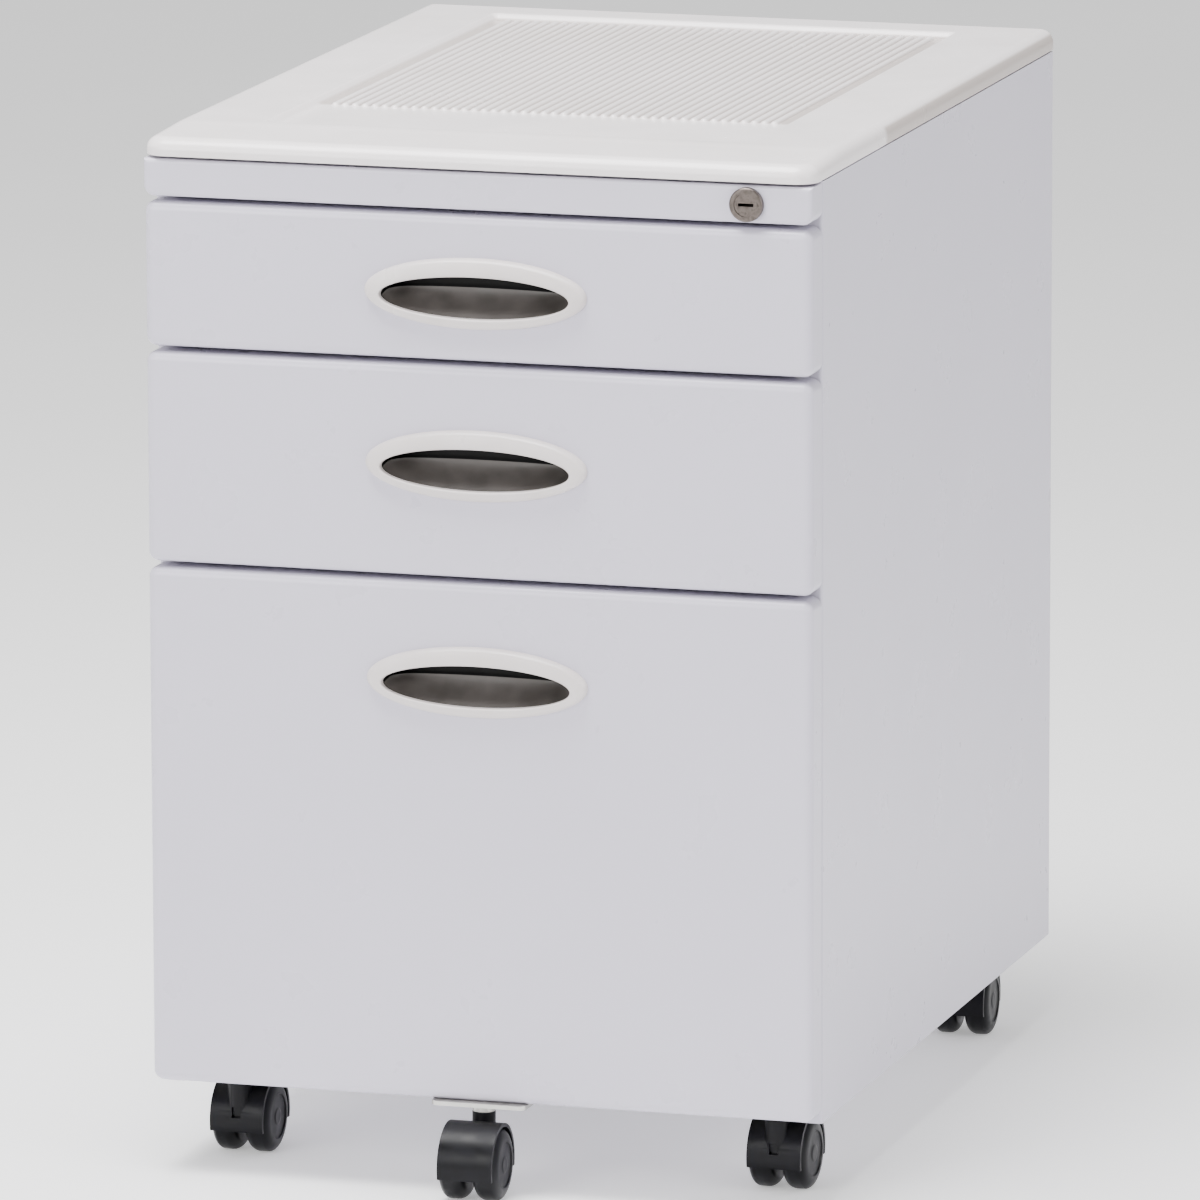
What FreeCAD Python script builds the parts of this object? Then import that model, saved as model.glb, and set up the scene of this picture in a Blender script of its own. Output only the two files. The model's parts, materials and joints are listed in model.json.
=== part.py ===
import FreeCAD, Part
import math
import os
import Sketcher

# Three-drawer mobile pedestal: a steel carcass under a moulded cover, three drawers on
# ball-bearing slides, a gang lock and five twin-wheel casters, one of them under the
# bottom drawer's front. X runs to the right as seen from the front, Y to the back, Z up.
# Every length below is measured from three references: the middle of the width, the
# plane of the drawer faces (y = 0) and the floor (z = 0). The placements then move the
# whole cabinet back so that the origin is the bottom centre of its bounding box.

doc = FreeCAD.newDocument("mobile_pedestal")
sheet = doc.addObject("Spreadsheet::Sheet", "Sizes")
sub_parts = []


class Size:
    """A length or angle: its number, and the sheet expression that gives it."""

    def __init__(self, value, text):
        self.value = value
        self.text = text

    def __add__(self, other):
        other = as_size(other)
        return Size(self.value + other.value, f"({self.text} + {other.text})")

    def __radd__(self, other):
        return as_size(other) + self

    def __sub__(self, other):
        other = as_size(other)
        return Size(self.value - other.value, f"({self.text} - {other.text})")

    def __rsub__(self, other):
        return as_size(other) - self

    def __mul__(self, factor):
        factor = as_size(factor)
        return Size(self.value * factor.value, f"({self.text} * {factor.text})")

    def __rmul__(self, factor):
        return self * factor

    def __truediv__(self, divisor):
        divisor = as_size(divisor)
        return Size(self.value / divisor.value, f"({self.text} / {divisor.text})")

    def __neg__(self):
        return as_size(0) - self


def as_size(number):
    if isinstance(number, Size):
        return number
    return Size(float(number), f"({number})")


def cosine(angle):
    return Size(math.cos(math.radians(angle.value)), f"cos({angle.text})")


def sine(angle):
    return Size(math.sin(math.radians(angle.value)), f"sin({angle.text})")


def size(alias, value, meaning):
    """Writes one driving dimension into the next row of the sheet."""
    row = size.rows + 1
    size.rows = row
    sheet.set(f"A{row}", meaning)
    sheet.set(f"B{row}", str(value))
    sheet.setAlias(f"B{row}", alias)
    return Size(float(value), f"Sizes.{alias}")


size.rows = 0

# ---- Driving dimensions: carcass ----
body_width = size("body_width", 395, "outside width of the side panels and drawer fronts")
body_depth = size("body_depth", 533.7, "drawer faces to the rear of the side panels")
side_height = size("side_height", 543.1, "height of the side panels")
sheet_steel = size("sheet_steel", 1, "thickness of the carcass and drawer sheet")
front_depth = size("front_depth", 20, "depth of the folded drawer fronts and of the fascia")
front_clearance = size("front_clearance", 2, "gap between the fronts and the side panels")
side_flange = size("side_flange", 12, "width of the folded flanges of a side panel")
fold_radius = size("fold_radius", 2, "outside radius of a fold in the side panels")
panel_flange = size("panel_flange", 12, "height of the stiffening flanges of the inner panels")
upright_depth = size("upright_depth", 12, "how far an upright stands off its side panel")
front_upright_length = size("front_upright_length", 33, "front upright, front to back")
rear_upright_length = size("rear_upright_length", 20, "rear upright, front to back")
upright_steel = size("upright_steel", 1.2, "thickness of the uprights")

# ---- Driving dimensions: moulded cover ----
cover_height = size("cover_height", 13.6, "height of the cover above the side panels")
cover_overhang = size("cover_overhang", 1, "cover beyond the front and the sides")
cover_rear_overhang = size("cover_rear_overhang", 3, "cover beyond the rear")
cover_front_corner = size("cover_front_corner", 13, "plan radius of the front corners")
cover_rear_corner = size("cover_rear_corner", 8.5, "plan radius of the rear corners")
cover_edge_radius = size("cover_edge_radius", 8, "rounding of the upper edge")
cover_wall = size("cover_wall", 3, "wall of the moulding")
recess_width = size("recess_width", 286, "width of the recess in the top")
recess_setback = size("recess_setback", 60, "front faces to the recess")
recess_rear_border = size("recess_rear_border", 30, "recess to the rear of the side panels")
recess_depth = size("recess_depth", 3.5, "depth of the recess")
rib_setback = size("rib_setback", 150, "front faces to the ribs")
rib_pitch = size("rib_pitch", 6, "spacing of the ribs")
rib_width = size("rib_width", 4, "width of a rib at its foot")
rib_height = size("rib_height", 1.5, "height of a rib")
rib_margin = size("rib_margin", 4, "recess edge to the first rib")
screw_inset_side = size("screw_inset_side", 30, "cover screws from the sides")
screw_inset_end = size("screw_inset_end", 70, "cover screws from the front and the rear")
screw_boss_radius = size("screw_boss_radius", 5, "radius of a screw boss")
screw_radius = size("screw_radius", 2, "shank radius of a cover screw")
screw_head_radius = size("screw_head_radius", 4, "head radius of a cover screw")
screw_head_height = size("screw_head_height", 2.4, "head height of a cover screw")
screw_grip = size("screw_grip", 6, "length of a screw inside its boss")

# ---- Driving dimensions: fronts and handles ----
fascia_height = size("fascia_height", 23.4, "cover to the top seam of drawer 1")
drawer_1_height = size("drawer_1_height", 86.8, "seam to seam, top drawer")
drawer_2_height = size("drawer_2_height", 125, "seam to seam, middle drawer")
bottom_lift = size("bottom_lift", 4.6, "side panel's lower edge to the bottom front")
seam_gap = size("seam_gap", 3, "open gap between two fronts")
cover_gap = size("cover_gap", 0.4, "gap between the fascia and the cover")
front_corner_radius = size("front_corner_radius", 6, "corner radius of a front seen face on")
front_edge_radius = size("front_edge_radius", 5, "rounding from the face to the edges")
fascia_edge_radius = size("fascia_edge_radius", 2.2, "the same rounding on the narrow fascia")
handle_half_width = size("handle_half_width", 65.7, "half the width of the oval bezel")
handle_half_height = size("handle_half_height", 20.5, "half the height of the oval bezel")
opening_half_width = size("opening_half_width", 56, "half the width of the finger opening")
opening_half_height = size("opening_half_height", 12, "half the height of the opening")
opening_drop = size("opening_drop", 2.1, "bezel's centre down to the opening's centre")
bezel_height = size("bezel_height", 5.5, "how far the bezel stands proud of the face")
bezel_rounding = size("bezel_rounding", 2.5, "rounding of the bezel's two front edges")
handle_drop_small = size("handle_drop_small", 46, "top seam to handle centre, drawer 1")
handle_drop_large = size("handle_drop_large", 58.2, "top seam to handle centre, drawers 2, 3")
cup_wall = size("cup_wall", 1.5, "wall of the finger cup")
cup_spare = size("cup_spare", 2, "gap between the cup and the tray behind it")
cup_play = size("cup_play", 0.3, "gap between the cup and the hole in the front")

# ---- Driving dimensions: trays ----
tray_lift = size("tray_lift", 4, "lower edge of a front to the tray floor")
tray_drop = size("tray_drop", 12, "upper edge of a small front to the tray rim")
file_tray_drop = size("file_tray_drop", 58, "upper edge of the file front to its tray rim")
tray_rear_gap = size("tray_rear_gap", 42, "tray to the rear of the side panels")
rim_flange = size("rim_flange", 7, "width of the folded rim of a tray")

# ---- Driving dimensions: slides ----
slide_setback = size("slide_setback", 38, "drawer faces to the front end of the slides")
slide_rear_gap = size("slide_rear_gap", 45.7, "rear end of the slides to the rear of the sides")
slide_depth = size("slide_depth", 12.4, "width of the space taken by a slide")
slide_steel = size("slide_steel", 1.2, "thickness of the slide members")
small_slide_height = size("small_slide_height", 37, "height of a two-member slide")
large_slide_height = size("large_slide_height", 46, "height of a three-member slide")
ball_radius = size("ball_radius", 2, "radius of a slide ball")
ball_play = size("ball_play", 0.05, "clearance of a ball in its race")
ball_spacing = size("ball_spacing", 28, "distance between balls")
retainer_steel = size("retainer_steel", 0.8, "thickness of a ball retainer")
member_gap = size("member_gap", 1.4, "gap between two slide members side by side")
small_slide_lift = size("small_slide_lift", 23, "tray floor to the middle of a small slide")
large_slide_lift = size("large_slide_lift", 110, "tray floor to the middle of a large slide")
partial_opening = size("partial_opening", 0.75, "travel of drawers 1 and 2 by slide length")

# ---- Driving dimensions: lock ----
lock_offset = size("lock_offset", 159.5, "middle of the cabinet to the lock axis")
lock_ring_radius = size("lock_ring_radius", 9.8, "radius of the visible ring")
lock_ring_height = size("lock_ring_height", 3.5, "how far the ring stands proud")
lock_barrel_radius = size("lock_barrel_radius", 7, "radius of the threaded barrel")
plug_head_radius = size("plug_head_radius", 6.8, "radius of the plug's face")
plug_radius = size("plug_radius", 5.5, "radius of the plug behind its face")
plug_play = size("plug_play", 0.05, "radial clearance of the plug")
plug_sink = size("plug_sink", 0.6, "how far the plug's face sits inside the ring")
plug_head_length = size("plug_head_length", 2.2, "length of the wide part of the plug")
keyway_length = size("keyway_length", 9, "length of the keyway")
keyway_width = size("keyway_width", 1.8, "width of the keyway")
keyway_depth = size("keyway_depth", 12, "depth of the keyway")
lock_nut_half = size("lock_nut_half", 8.4, "half the width across flats of the nut")
lock_nut_height = size("lock_nut_height", 3.5, "thickness of the nut")
barrel_length = size("barrel_length", 18, "barrel behind the drawer-face plane")
cam_radius = size("cam_radius", 8.6, "radius of the cam disc")
cam_thickness = size("cam_thickness", 2, "thickness of the cam disc")
cam_throw = size("cam_throw", 6, "lock axis to the cam's pin")
cam_pin_radius = size("cam_pin_radius", 1.5, "radius of the cam's pin")
cam_start = size("cam_start", 45, "angle of the pin above level when unlocked")
pin_play = size("pin_play", 0.4, "clearance round the cam's pin in the bar's slot")
bar_steel = size("bar_steel", 1.8, "thickness of the lock bar")
bar_width = size("bar_width", 12, "width of the lock bar, front to back")
bar_setback = size("bar_setback", 25, "drawer faces to the lock bar")
bar_play = size("bar_play", 0.3, "clearance round the lock bar")
catch_drop = size("catch_drop", 9, "tray rim to the catch tab")
catch_steel = size("catch_steel", 2, "thickness of a catch tab")
catch_length = size("catch_length", 2.5, "length of a catch tab, front to back")
catch_play = size("catch_play", 1.5, "clearance between a catch tab and its notch")
notch_lip = size("notch_lip", 3, "width of the finger that holds a catch tab")
guide_steel = size("guide_steel", 1, "thickness of the bar guides")
guide_height = size("guide_height", 10, "height of a bar guide")

# ---- Driving dimensions: casters ----
wheel_radius = size("wheel_radius", 21, "radius of a caster wheel")
wheel_width = size("wheel_width", 14.4, "width of one wheel")
outer_rounding = size("outer_rounding", 8, "rounding of the tread on the outer side")
inner_rounding = size("inner_rounding", 6, "rounding of the tread beside the web")
web_thickness = size("web_thickness", 3.6, "web of the hood, between the wheels")
wheel_play = size("wheel_play", 0.8, "gap between a wheel and the hood")
hood_wall = size("hood_wall", 2.2, "wall of the hood")
hood_clearance = size("hood_clearance", 15.5, "floor to the lower edge of the hood")
slot_clearance = size("slot_clearance", 24, "floor to the slot in the hood, under the kingpin")
slot_height = size("slot_height", 6.5, "height of that slot")
slot_width = size("slot_width", 5.4, "width of that slot")
slot_depth = size("slot_depth", 2.6, "depth of that slot")
trail = size("trail", 17, "kingpin to axle")
collar_radius = size("collar_radius", 6.8, "radius of the hood's collar")
collar_rise = size("collar_rise", 2.8, "height of the collar above the hood")
boss_radius = size("boss_radius", 6.6, "radius of the metal boss under the plate")
boss_height = size("boss_height", 4.1, "height of the metal boss")
swivel_gap = size("swivel_gap", 0.5, "gap between the boss and the collar")
kingpin_radius = size("kingpin_radius", 4, "radius of the kingpin")
kingpin_play = size("kingpin_play", 0.05, "radial clearance of the kingpin")
kingpin_reach = size("kingpin_reach", 7, "length of the kingpin inside the collar")
axle_radius = size("axle_radius", 3, "radius of the axle")
axle_play = size("axle_play", 0.05, "radial clearance of the wheels on the axle")
plate_length = size("plate_length", 57, "caster plate, side to side")
plate_width = size("plate_width", 26, "caster plate, front to back")
plate_thickness = size("plate_thickness", 2.4, "thickness of a caster plate")
plate_corner = size("plate_corner", 5, "corner radius of a caster plate")
corner_inset = size("corner_inset", 35.5, "side of the cabinet to the corner kingpins")
front_kingpin_setback = size("front_kingpin_setback", 52.4, "faces to the front kingpins")
rear_kingpin_inset = size("rear_kingpin_inset", 78.6, "rear of the sides to the rear kingpins")
fifth_kingpin_setback = size("fifth_kingpin_setback", 9, "drawer faces to the fifth kingpin")
bracket_width = size("bracket_width", 90, "width of the bracket over the fifth caster")
bracket_length = size("bracket_length", 25, "length of that bracket, front to back")
bottom_setback = size("bottom_setback", 38, "drawer faces to the bottom panel")
swivel_front_left = size("swivel_front_left", -1.5, "turn of that caster from straight back")
swivel_front_right = size("swivel_front_right", -2, "turn of that caster")
swivel_rear_left = size("swivel_rear_left", -30, "turn of that caster")
swivel_rear_right = size("swivel_rear_right", 2, "turn of that caster")
swivel_fifth = size("swivel_fifth", 180.6, "turn of the fifth caster, wheels ahead of its pin")

doc.recompute()

# ---- Dimensions worked out from the ones above ----
# The casters set how high the cabinet stands, from the floor up.
hood_radius = wheel_radius + wheel_play + hood_wall
hood_half = web_thickness / 2 + wheel_play + wheel_width
collar_top = wheel_radius + hood_radius + collar_rise
boss_under = collar_top + swivel_gap
plate_under = boss_under + boss_height
plate_top = plate_under + plate_thickness
underside = plate_top
side_clearance = underside - bottom_lift
half_width = body_width / 2
side_top = side_clearance + side_height
panel_face = half_width - sheet_steel
inner_panel_half = half_width - fold_radius
flange_rear = front_depth + front_clearance + sheet_steel
upright_face = panel_face - upright_depth
tray_side = upright_face - slide_depth
seams = [side_top - fascia_height]
seams.append(seams[0] - drawer_1_height)
seams.append(seams[1] - drawer_2_height)
front_tops = [seam - seam_gap / 2 for seam in seams]
front_bottoms = [seams[1] + seam_gap / 2, seams[2] + seam_gap / 2, underside]
tray_floors = [bottom + tray_lift for bottom in front_bottoms]
tray_rims = [front_tops[0] - tray_drop, front_tops[1] - tray_drop, front_tops[2] - file_tray_drop]
handle_levels = [seams[0] - handle_drop_small, seams[1] - handle_drop_large, seams[2] - handle_drop_large]
slide_lifts = [small_slide_lift, small_slide_lift, large_slide_lift]
slide_levels = [floor + lift for floor, lift in zip(tray_floors, slide_lifts)]
slide_end = body_depth - slide_rear_gap
slide_length = slide_end - slide_setback
tray_end = body_depth - tray_rear_gap
back_face = body_depth - sheet_steel * 2
race = ball_radius * 2 + ball_play * 2
lock_level = side_top - cover_gap / 2 - (fascia_height - seam_gap / 2) / 2
catch_levels = [rim - catch_drop for rim in tray_rims]
bar_outer = upright_face - bar_play
bar_inner = bar_outer - bar_steel
bar_stroke = 2 * cam_throw * sine(cam_start)
fifth_turn = swivel_fifth - 180
fifth_reach = (trail + hood_radius) * cosine(fifth_turn) + hood_half * sine(fifth_turn)
hood_reach = fifth_reach - fifth_kingpin_setback
face_y = (hood_reach - body_depth - cover_rear_overhang) / 2


# ---- How pieces are drawn ----
def new_body(label, listed=True):
    """Starts one solid piece; a listed piece becomes a node and stands in the cabinet's place."""
    body = doc.addObject("PartDesign::Body", label)
    body.Label = label
    if listed:
        list_piece(body)
    return body


def list_piece(piece):
    piece.setExpression("Placement.Base.y", face_y.text)
    sub_parts.append(piece)


def sketch_on(body, plane, height):
    """Opens a sketch parallel to one of the body's origin planes."""
    sketch = body.newObject("Sketcher::SketchObject", body.Name + "_outline")
    origin_plane = [item for item in body.Origin.OriginFeatures if item.Role == plane + "_Plane"][0]
    sketch.AttachmentSupport = [(origin_plane, "")]
    sketch.MapMode = "FlatFace"
    sketch.setExpression("AttachmentOffset.Base.z", height.text)
    return sketch


def place_point(sketch, geometry, end, x, y):
    """Ties one point of a sketch to two sheet expressions."""
    across = sketch.addConstraint(Sketcher.Constraint("DistanceX", -1, 1, geometry, end, x.value))
    sketch.setExpression(f"Constraints[{across}]", x.text)
    upward = sketch.addConstraint(Sketcher.Constraint("DistanceY", -1, 1, geometry, end, y.value))
    sketch.setExpression(f"Constraints[{upward}]", y.text)


def polygon(*corners):
    """A closed outline with straight sides."""
    corners = [(as_size(x), as_size(y)) for x, y in corners]

    def draw(sketch):
        first = sketch.GeometryCount
        count = len(corners)
        for index, (x, y) in enumerate(corners):
            next_x, next_y = corners[(index + 1) % count]
            start = FreeCAD.Vector(x.value, y.value, 0)
            end = FreeCAD.Vector(next_x.value, next_y.value, 0)
            sketch.addGeometry(Part.LineSegment(start, end))
        for index in range(count):
            following = first + (index + 1) % count
            sketch.addConstraint(Sketcher.Constraint("Coincident", first + index, 2, following, 1))
        for index, (x, y) in enumerate(corners):
            place_point(sketch, first + index, 1, x, y)

    return draw


def rectangle(left, right, low, high):
    return polygon((left, low), (right, low), (right, high), (left, high))


def disc(x, y, radius):
    """A full circle."""
    x = as_size(x)
    y = as_size(y)

    def draw(sketch):
        centre = FreeCAD.Vector(x.value, y.value, 0)
        circle = sketch.addGeometry(Part.Circle(centre, FreeCAD.Vector(0, 0, 1), radius.value))
        place_point(sketch, circle, 3, x, y)
        round_size = sketch.addConstraint(Sketcher.Constraint("Radius", circle, radius.value))
        sketch.setExpression(f"Constraints[{round_size}]", radius.text)

    return draw


def oval(x, y, half_wide, half_high):
    """An upright ellipse, wider than high."""
    x = as_size(x)
    y = as_size(y)

    def draw(sketch):
        centre = FreeCAD.Vector(x.value, y.value, 0)
        ellipse = sketch.addGeometry(Part.Ellipse(centre, half_wide.value, half_high.value))
        sketch.exposeInternalGeometry(ellipse)
        place_point(sketch, ellipse, 3, x, y)
        sketch.addConstraint(Sketcher.Constraint("Horizontal", ellipse + 1))
        wide = 2 * half_wide
        wide_size = sketch.addConstraint(Sketcher.Constraint("Distance", ellipse + 1, wide.value))
        sketch.setExpression(f"Constraints[{wide_size}]", wide.text)
        high = 2 * half_high
        high_size = sketch.addConstraint(Sketcher.Constraint("Distance", ellipse + 2, high.value))
        sketch.setExpression(f"Constraints[{high_size}]", high.text)

    return draw


def add(body, plane, start, end, *outlines):
    """Pads outlines along the plane's axis, from the lower value to the higher."""
    start = as_size(start)
    end = as_size(end)
    sketch = sketch_on(body, plane, -end if plane == "XZ" else start)
    for outline in outlines:
        outline(sketch)
    pad = body.newObject("PartDesign::Pad", body.Name + "_pad")
    pad.Profile = sketch
    pad.setExpression("Length", (end - start).text)
    doc.recompute()
    return pad


def cut(body, plane, start, end, *outlines):
    """Pockets outlines along the plane's axis, and checks that material went."""
    start = as_size(start)
    end = as_size(end)
    before = body.Shape.Volume
    sketch = sketch_on(body, plane, -start if plane == "XZ" else end)
    for outline in outlines:
        outline(sketch)
    pocket = body.newObject("PartDesign::Pocket", body.Name + "_pocket")
    pocket.Profile = sketch
    pocket.setExpression("Length", (end - start).text)
    doc.recompute()
    if body.Shape.Volume > before - 0.01:
        raise RuntimeError(f"a cut in {body.Label} removed nothing")
    return pocket


def lies_in(axis, level):
    """Picks edges or faces that lie in one plane."""

    def chosen(element):
        box = element.BoundBox
        low = getattr(box, axis + "Min")
        high = getattr(box, axis + "Max")
        return abs(low - level.value) < 0.01 and abs(high - level.value) < 0.01

    return chosen


def runs_along(axis, x=None, y=None, z=None):
    """Picks straight edges along an axis, at given places when those are named."""
    wanted = {"X": x, "Y": y, "Z": z}

    def chosen(edge):
        ends = [vertex.Point for vertex in edge.Vertexes]
        if len(ends) < 2 or edge.Curve.TypeId != "Part::GeomLine":
            return False
        way = (ends[1] - ends[0]).normalize()
        if abs(abs(getattr(way, axis.lower())) - 1) > 0.001:
            return False
        for name, level in wanted.items():
            if level is None:
                continue
            place = getattr(ends[0], name.lower())
            if abs(place - level.value) > 0.01:
                return False
        return True

    return chosen


def round_edges(body, radius, *choices):
    """Fillets every edge that one of the choices picks."""
    base = body.Tip
    names = []
    for index, edge in enumerate(base.Shape.Edges):
        if any(chosen(edge) for chosen in choices):
            names.append(f"Edge{index + 1}")
    if not names:
        raise RuntimeError(f"no edge to round in {body.Label}")
    fillet = body.newObject("PartDesign::Fillet", body.Name + "_fillet")
    fillet.Base = (base, names)
    fillet.setExpression("Radius", radius.text)
    doc.recompute()
    return fillet


def hollow_out(body, wall, open_face):
    """Turns a block into a folded or moulded shell, open at the chosen face."""
    base = body.Tip
    names = [f"Face{index + 1}" for index, face in enumerate(base.Shape.Faces) if open_face(face)]
    shell = body.newObject("PartDesign::Thickness", body.Name + "_shell")
    shell.Base = (base, names)
    shell.Reversed = True
    shell.setExpression("Value", wall.text)
    doc.recompute()
    return shell


def group(label, pieces):
    """Several separate solids that share one node."""
    bundle = doc.addObject("Part::Compound", label)
    bundle.Label = label
    bundle.Links = pieces
    list_piece(bundle)
    return bundle


def mirrored(piece):
    """The same piece on the other side of the cabinet."""
    twin = doc.addObject("Part::Mirroring", piece.Name + "_left")
    twin.Source = piece
    twin.Normal = FreeCAD.Vector(1, 0, 0)
    return twin


def pair(label, right_piece):
    return group(label, [right_piece, mirrored(right_piece)])


# ---- Carcass ----
def make_side_panel(label, hand):
    """A flat sheet folded inwards at the front and at the rear."""
    panel = new_body(label)
    outer = hand * half_width
    inner = hand * panel_face
    lip = hand * (half_width - side_flange)
    front = front_depth + front_clearance
    outline = polygon(
        (lip, front),
        (outer, front),
        (outer, body_depth),
        (lip, body_depth),
        (lip, body_depth - sheet_steel),
        (inner, body_depth - sheet_steel),
        (inner, front + sheet_steel),
        (lip, front + sheet_steel),
    )
    add(panel, "XY", side_clearance, side_top, outline)
    round_edges(panel, fold_radius, runs_along("Z", x=outer))
    round_edges(panel, fold_radius - sheet_steel, runs_along("Z", x=inner))


def make_back_panel():
    """A sheet with flanges folded forward at the top and the bottom."""
    panel = new_body("back_panel")
    low = underside + sheet_steel
    high = side_top - sheet_steel
    inside = back_face - panel_flange
    outline = polygon(
        (inside, low),
        (back_face + sheet_steel, low),
        (back_face + sheet_steel, high),
        (inside, high),
        (inside, high - sheet_steel),
        (back_face, high - sheet_steel),
        (back_face, low + sheet_steel),
        (inside, low + sheet_steel),
    )
    add(panel, "YZ", -inner_panel_half, inner_panel_half, outline)


def make_bottom_panel():
    """A sheet with flanges folded down at the front and at the rear."""
    panel = new_body("bottom_panel")
    high = underside + sheet_steel
    low = side_clearance
    end = back_face + sheet_steel
    outline = polygon(
        (bottom_setback, low),
        (bottom_setback + sheet_steel, low),
        (bottom_setback + sheet_steel, underside),
        (end - sheet_steel, underside),
        (end - sheet_steel, low),
        (end, low),
        (end, high),
        (bottom_setback, high),
    )
    add(panel, "YZ", -inner_panel_half, inner_panel_half, outline)


def screw_places():
    """Plan positions of the four cover screws."""
    across = half_width - screw_inset_side
    for x in (-across, across):
        for y in (screw_inset_end, body_depth - screw_inset_end):
            yield x, y


def make_inner_top_panel():
    """The steel panel under the cover, with a tongue to the fascia and holes for the screws."""
    panel = new_body("inner_top_panel")
    tongue = half_width - side_flange - sheet_steel
    rear = back_face + sheet_steel
    outline = polygon(
        (-tongue, front_depth),
        (tongue, front_depth),
        (tongue, flange_rear),
        (inner_panel_half, flange_rear),
        (inner_panel_half, rear),
        (-inner_panel_half, rear),
        (-inner_panel_half, flange_rear),
        (-tongue, flange_rear),
    )
    add(panel, "XY", side_top - sheet_steel, side_top, outline)
    holes = [disc(x, y, screw_radius + plug_play) for x, y in screw_places()]
    cut(panel, "XY", side_top - sheet_steel, side_top, *holes)


def make_uprights(label, start, length):
    """Channel posts on both side panels that carry the slides."""
    right = new_body(label + "_right", listed=False)
    inside = upright_face + upright_steel
    end = start + length
    outline = polygon(
        (upright_face, start),
        (panel_face, start),
        (panel_face, start + upright_steel),
        (inside, start + upright_steel),
        (inside, end - upright_steel),
        (panel_face, end - upright_steel),
        (panel_face, end),
        (upright_face, end),
    )
    add(right, "XY", underside + sheet_steel, side_top - sheet_steel, outline)
    pair(label, right)


def make_fascia():
    """The fixed folded front above the drawers, with the hole for the lock."""
    fascia = new_body("front_fascia")
    low = seams[0] + seam_gap / 2
    high = side_top - cover_gap
    add(fascia, "XZ", 0, front_depth, rectangle(-half_width, half_width, low, high))
    lower_edges = runs_along("Y", z=low)
    round_edges(fascia, front_corner_radius, lower_edges)

    def face_edge(edge):
        return lies_in("Y", as_size(0))(edge) and not lies_in("Z", high)(edge)

    round_edges(fascia, fascia_edge_radius, face_edge)
    hollow_out(fascia, sheet_steel, lies_in("Y", front_depth))
    cut(fascia, "XZ", 0, sheet_steel, disc(lock_offset, lock_level, lock_barrel_radius))


# ---- Cover ----
def make_cover():
    """A moulded resin cover: rounded rim, shallow ribbed recess, hollow underneath."""
    cover = new_body("top_cover")
    edge = half_width + cover_overhang
    rear = body_depth + cover_rear_overhang
    top = side_top + cover_height
    add(cover, "XY", side_top, top, rectangle(-edge, edge, -cover_overhang, rear))
    round_edges(cover, cover_front_corner, runs_along("Z", y=-cover_overhang))
    round_edges(cover, cover_rear_corner, runs_along("Z", y=rear))
    round_edges(cover, cover_edge_radius, lies_in("Z", top))
    half_recess = recess_width / 2
    recess_end = body_depth - recess_rear_border
    recess_floor = top - recess_depth
    recess = rectangle(-half_recess, half_recess, recess_setback, recess_end)
    cut(cover, "XY", recess_floor, top, recess)
    ceiling = recess_floor - cover_wall
    inside = rectangle(
        cover_wall - edge + cover_edge_radius / 2,
        edge - cover_wall - cover_edge_radius / 2,
        cover_wall - cover_overhang + cover_edge_radius / 2,
        rear - cover_wall - cover_edge_radius / 2,
    )
    # Pocketed from below, so the hollow is open at the underside of the cover.
    cut(cover, "XY", side_top, ceiling, inside)
    bosses = [disc(x, y, screw_boss_radius) for x, y in screw_places()]
    add(cover, "XY", side_top, ceiling, *bosses)
    pilot_holes = [disc(x, y, screw_radius) for x, y in screw_places()]
    cut(cover, "XY", side_top, side_top + screw_grip, *pilot_holes)
    make_ribs(cover, half_recess, recess_floor, recess_end)


def make_ribs(cover, half_recess, recess_floor, recess_end):
    """Parallel ribs on the recess floor, each a low trapezium in section."""
    first = rib_margin - half_recess
    outline = polygon(
        (first, recess_floor),
        (first + rib_width, recess_floor),
        (first + rib_width * 0.75, recess_floor + rib_height),
        (first + rib_width * 0.25, recess_floor + rib_height),
    )
    rib = add(cover, "XZ", rib_setback, recess_end - rib_margin, outline)
    span = recess_width - 2 * rib_margin - rib_width
    count = int(span.value / rib_pitch.value) + 1
    ribs = cover.newObject("PartDesign::LinearPattern", "ribs")
    ribs.Originals = [rib]
    ribs.Direction = (rib.Profile[0], ["H_Axis"])
    ribs.setExpression("Length", (rib_pitch * (count - 1)).text)
    ribs.Occurrences = count
    cover.Tip = ribs
    doc.recompute()


def make_cover_screws():
    """Pan-head screws driven up through the inner top panel into the cover."""
    screws = []
    for index, (x, y) in enumerate(screw_places()):
        screw = new_body(f"cover_screw_{index + 1}", listed=False)
        seat = side_top - sheet_steel
        add(screw, "XY", seat - screw_head_height, seat, disc(x, y, screw_head_radius))
        add(screw, "XY", seat, side_top + screw_grip, disc(x, y, screw_radius))
        screws.append(screw)
    group("top_cover_screws", screws)


# ---- Drawers ----
def make_front(number, low, high, handle_level):
    """A drawer front folded from one sheet, with an oval hole for the handle cup."""
    front = new_body(f"drawer_{number}_front")
    add(front, "XZ", 0, front_depth, rectangle(-half_width, half_width, low, high))
    round_edges(front, front_corner_radius, runs_along("Y"))
    round_edges(front, front_edge_radius, lies_in("Y", as_size(0)))
    hollow_out(front, sheet_steel, lies_in("Y", front_depth))
    hole_width = opening_half_width + cup_wall + cup_play
    hole_height = opening_half_height + cup_wall + cup_play
    hole = oval(0, handle_level - opening_drop, hole_width, hole_height)
    cut(front, "XZ", 0, sheet_steel, hole)


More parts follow.
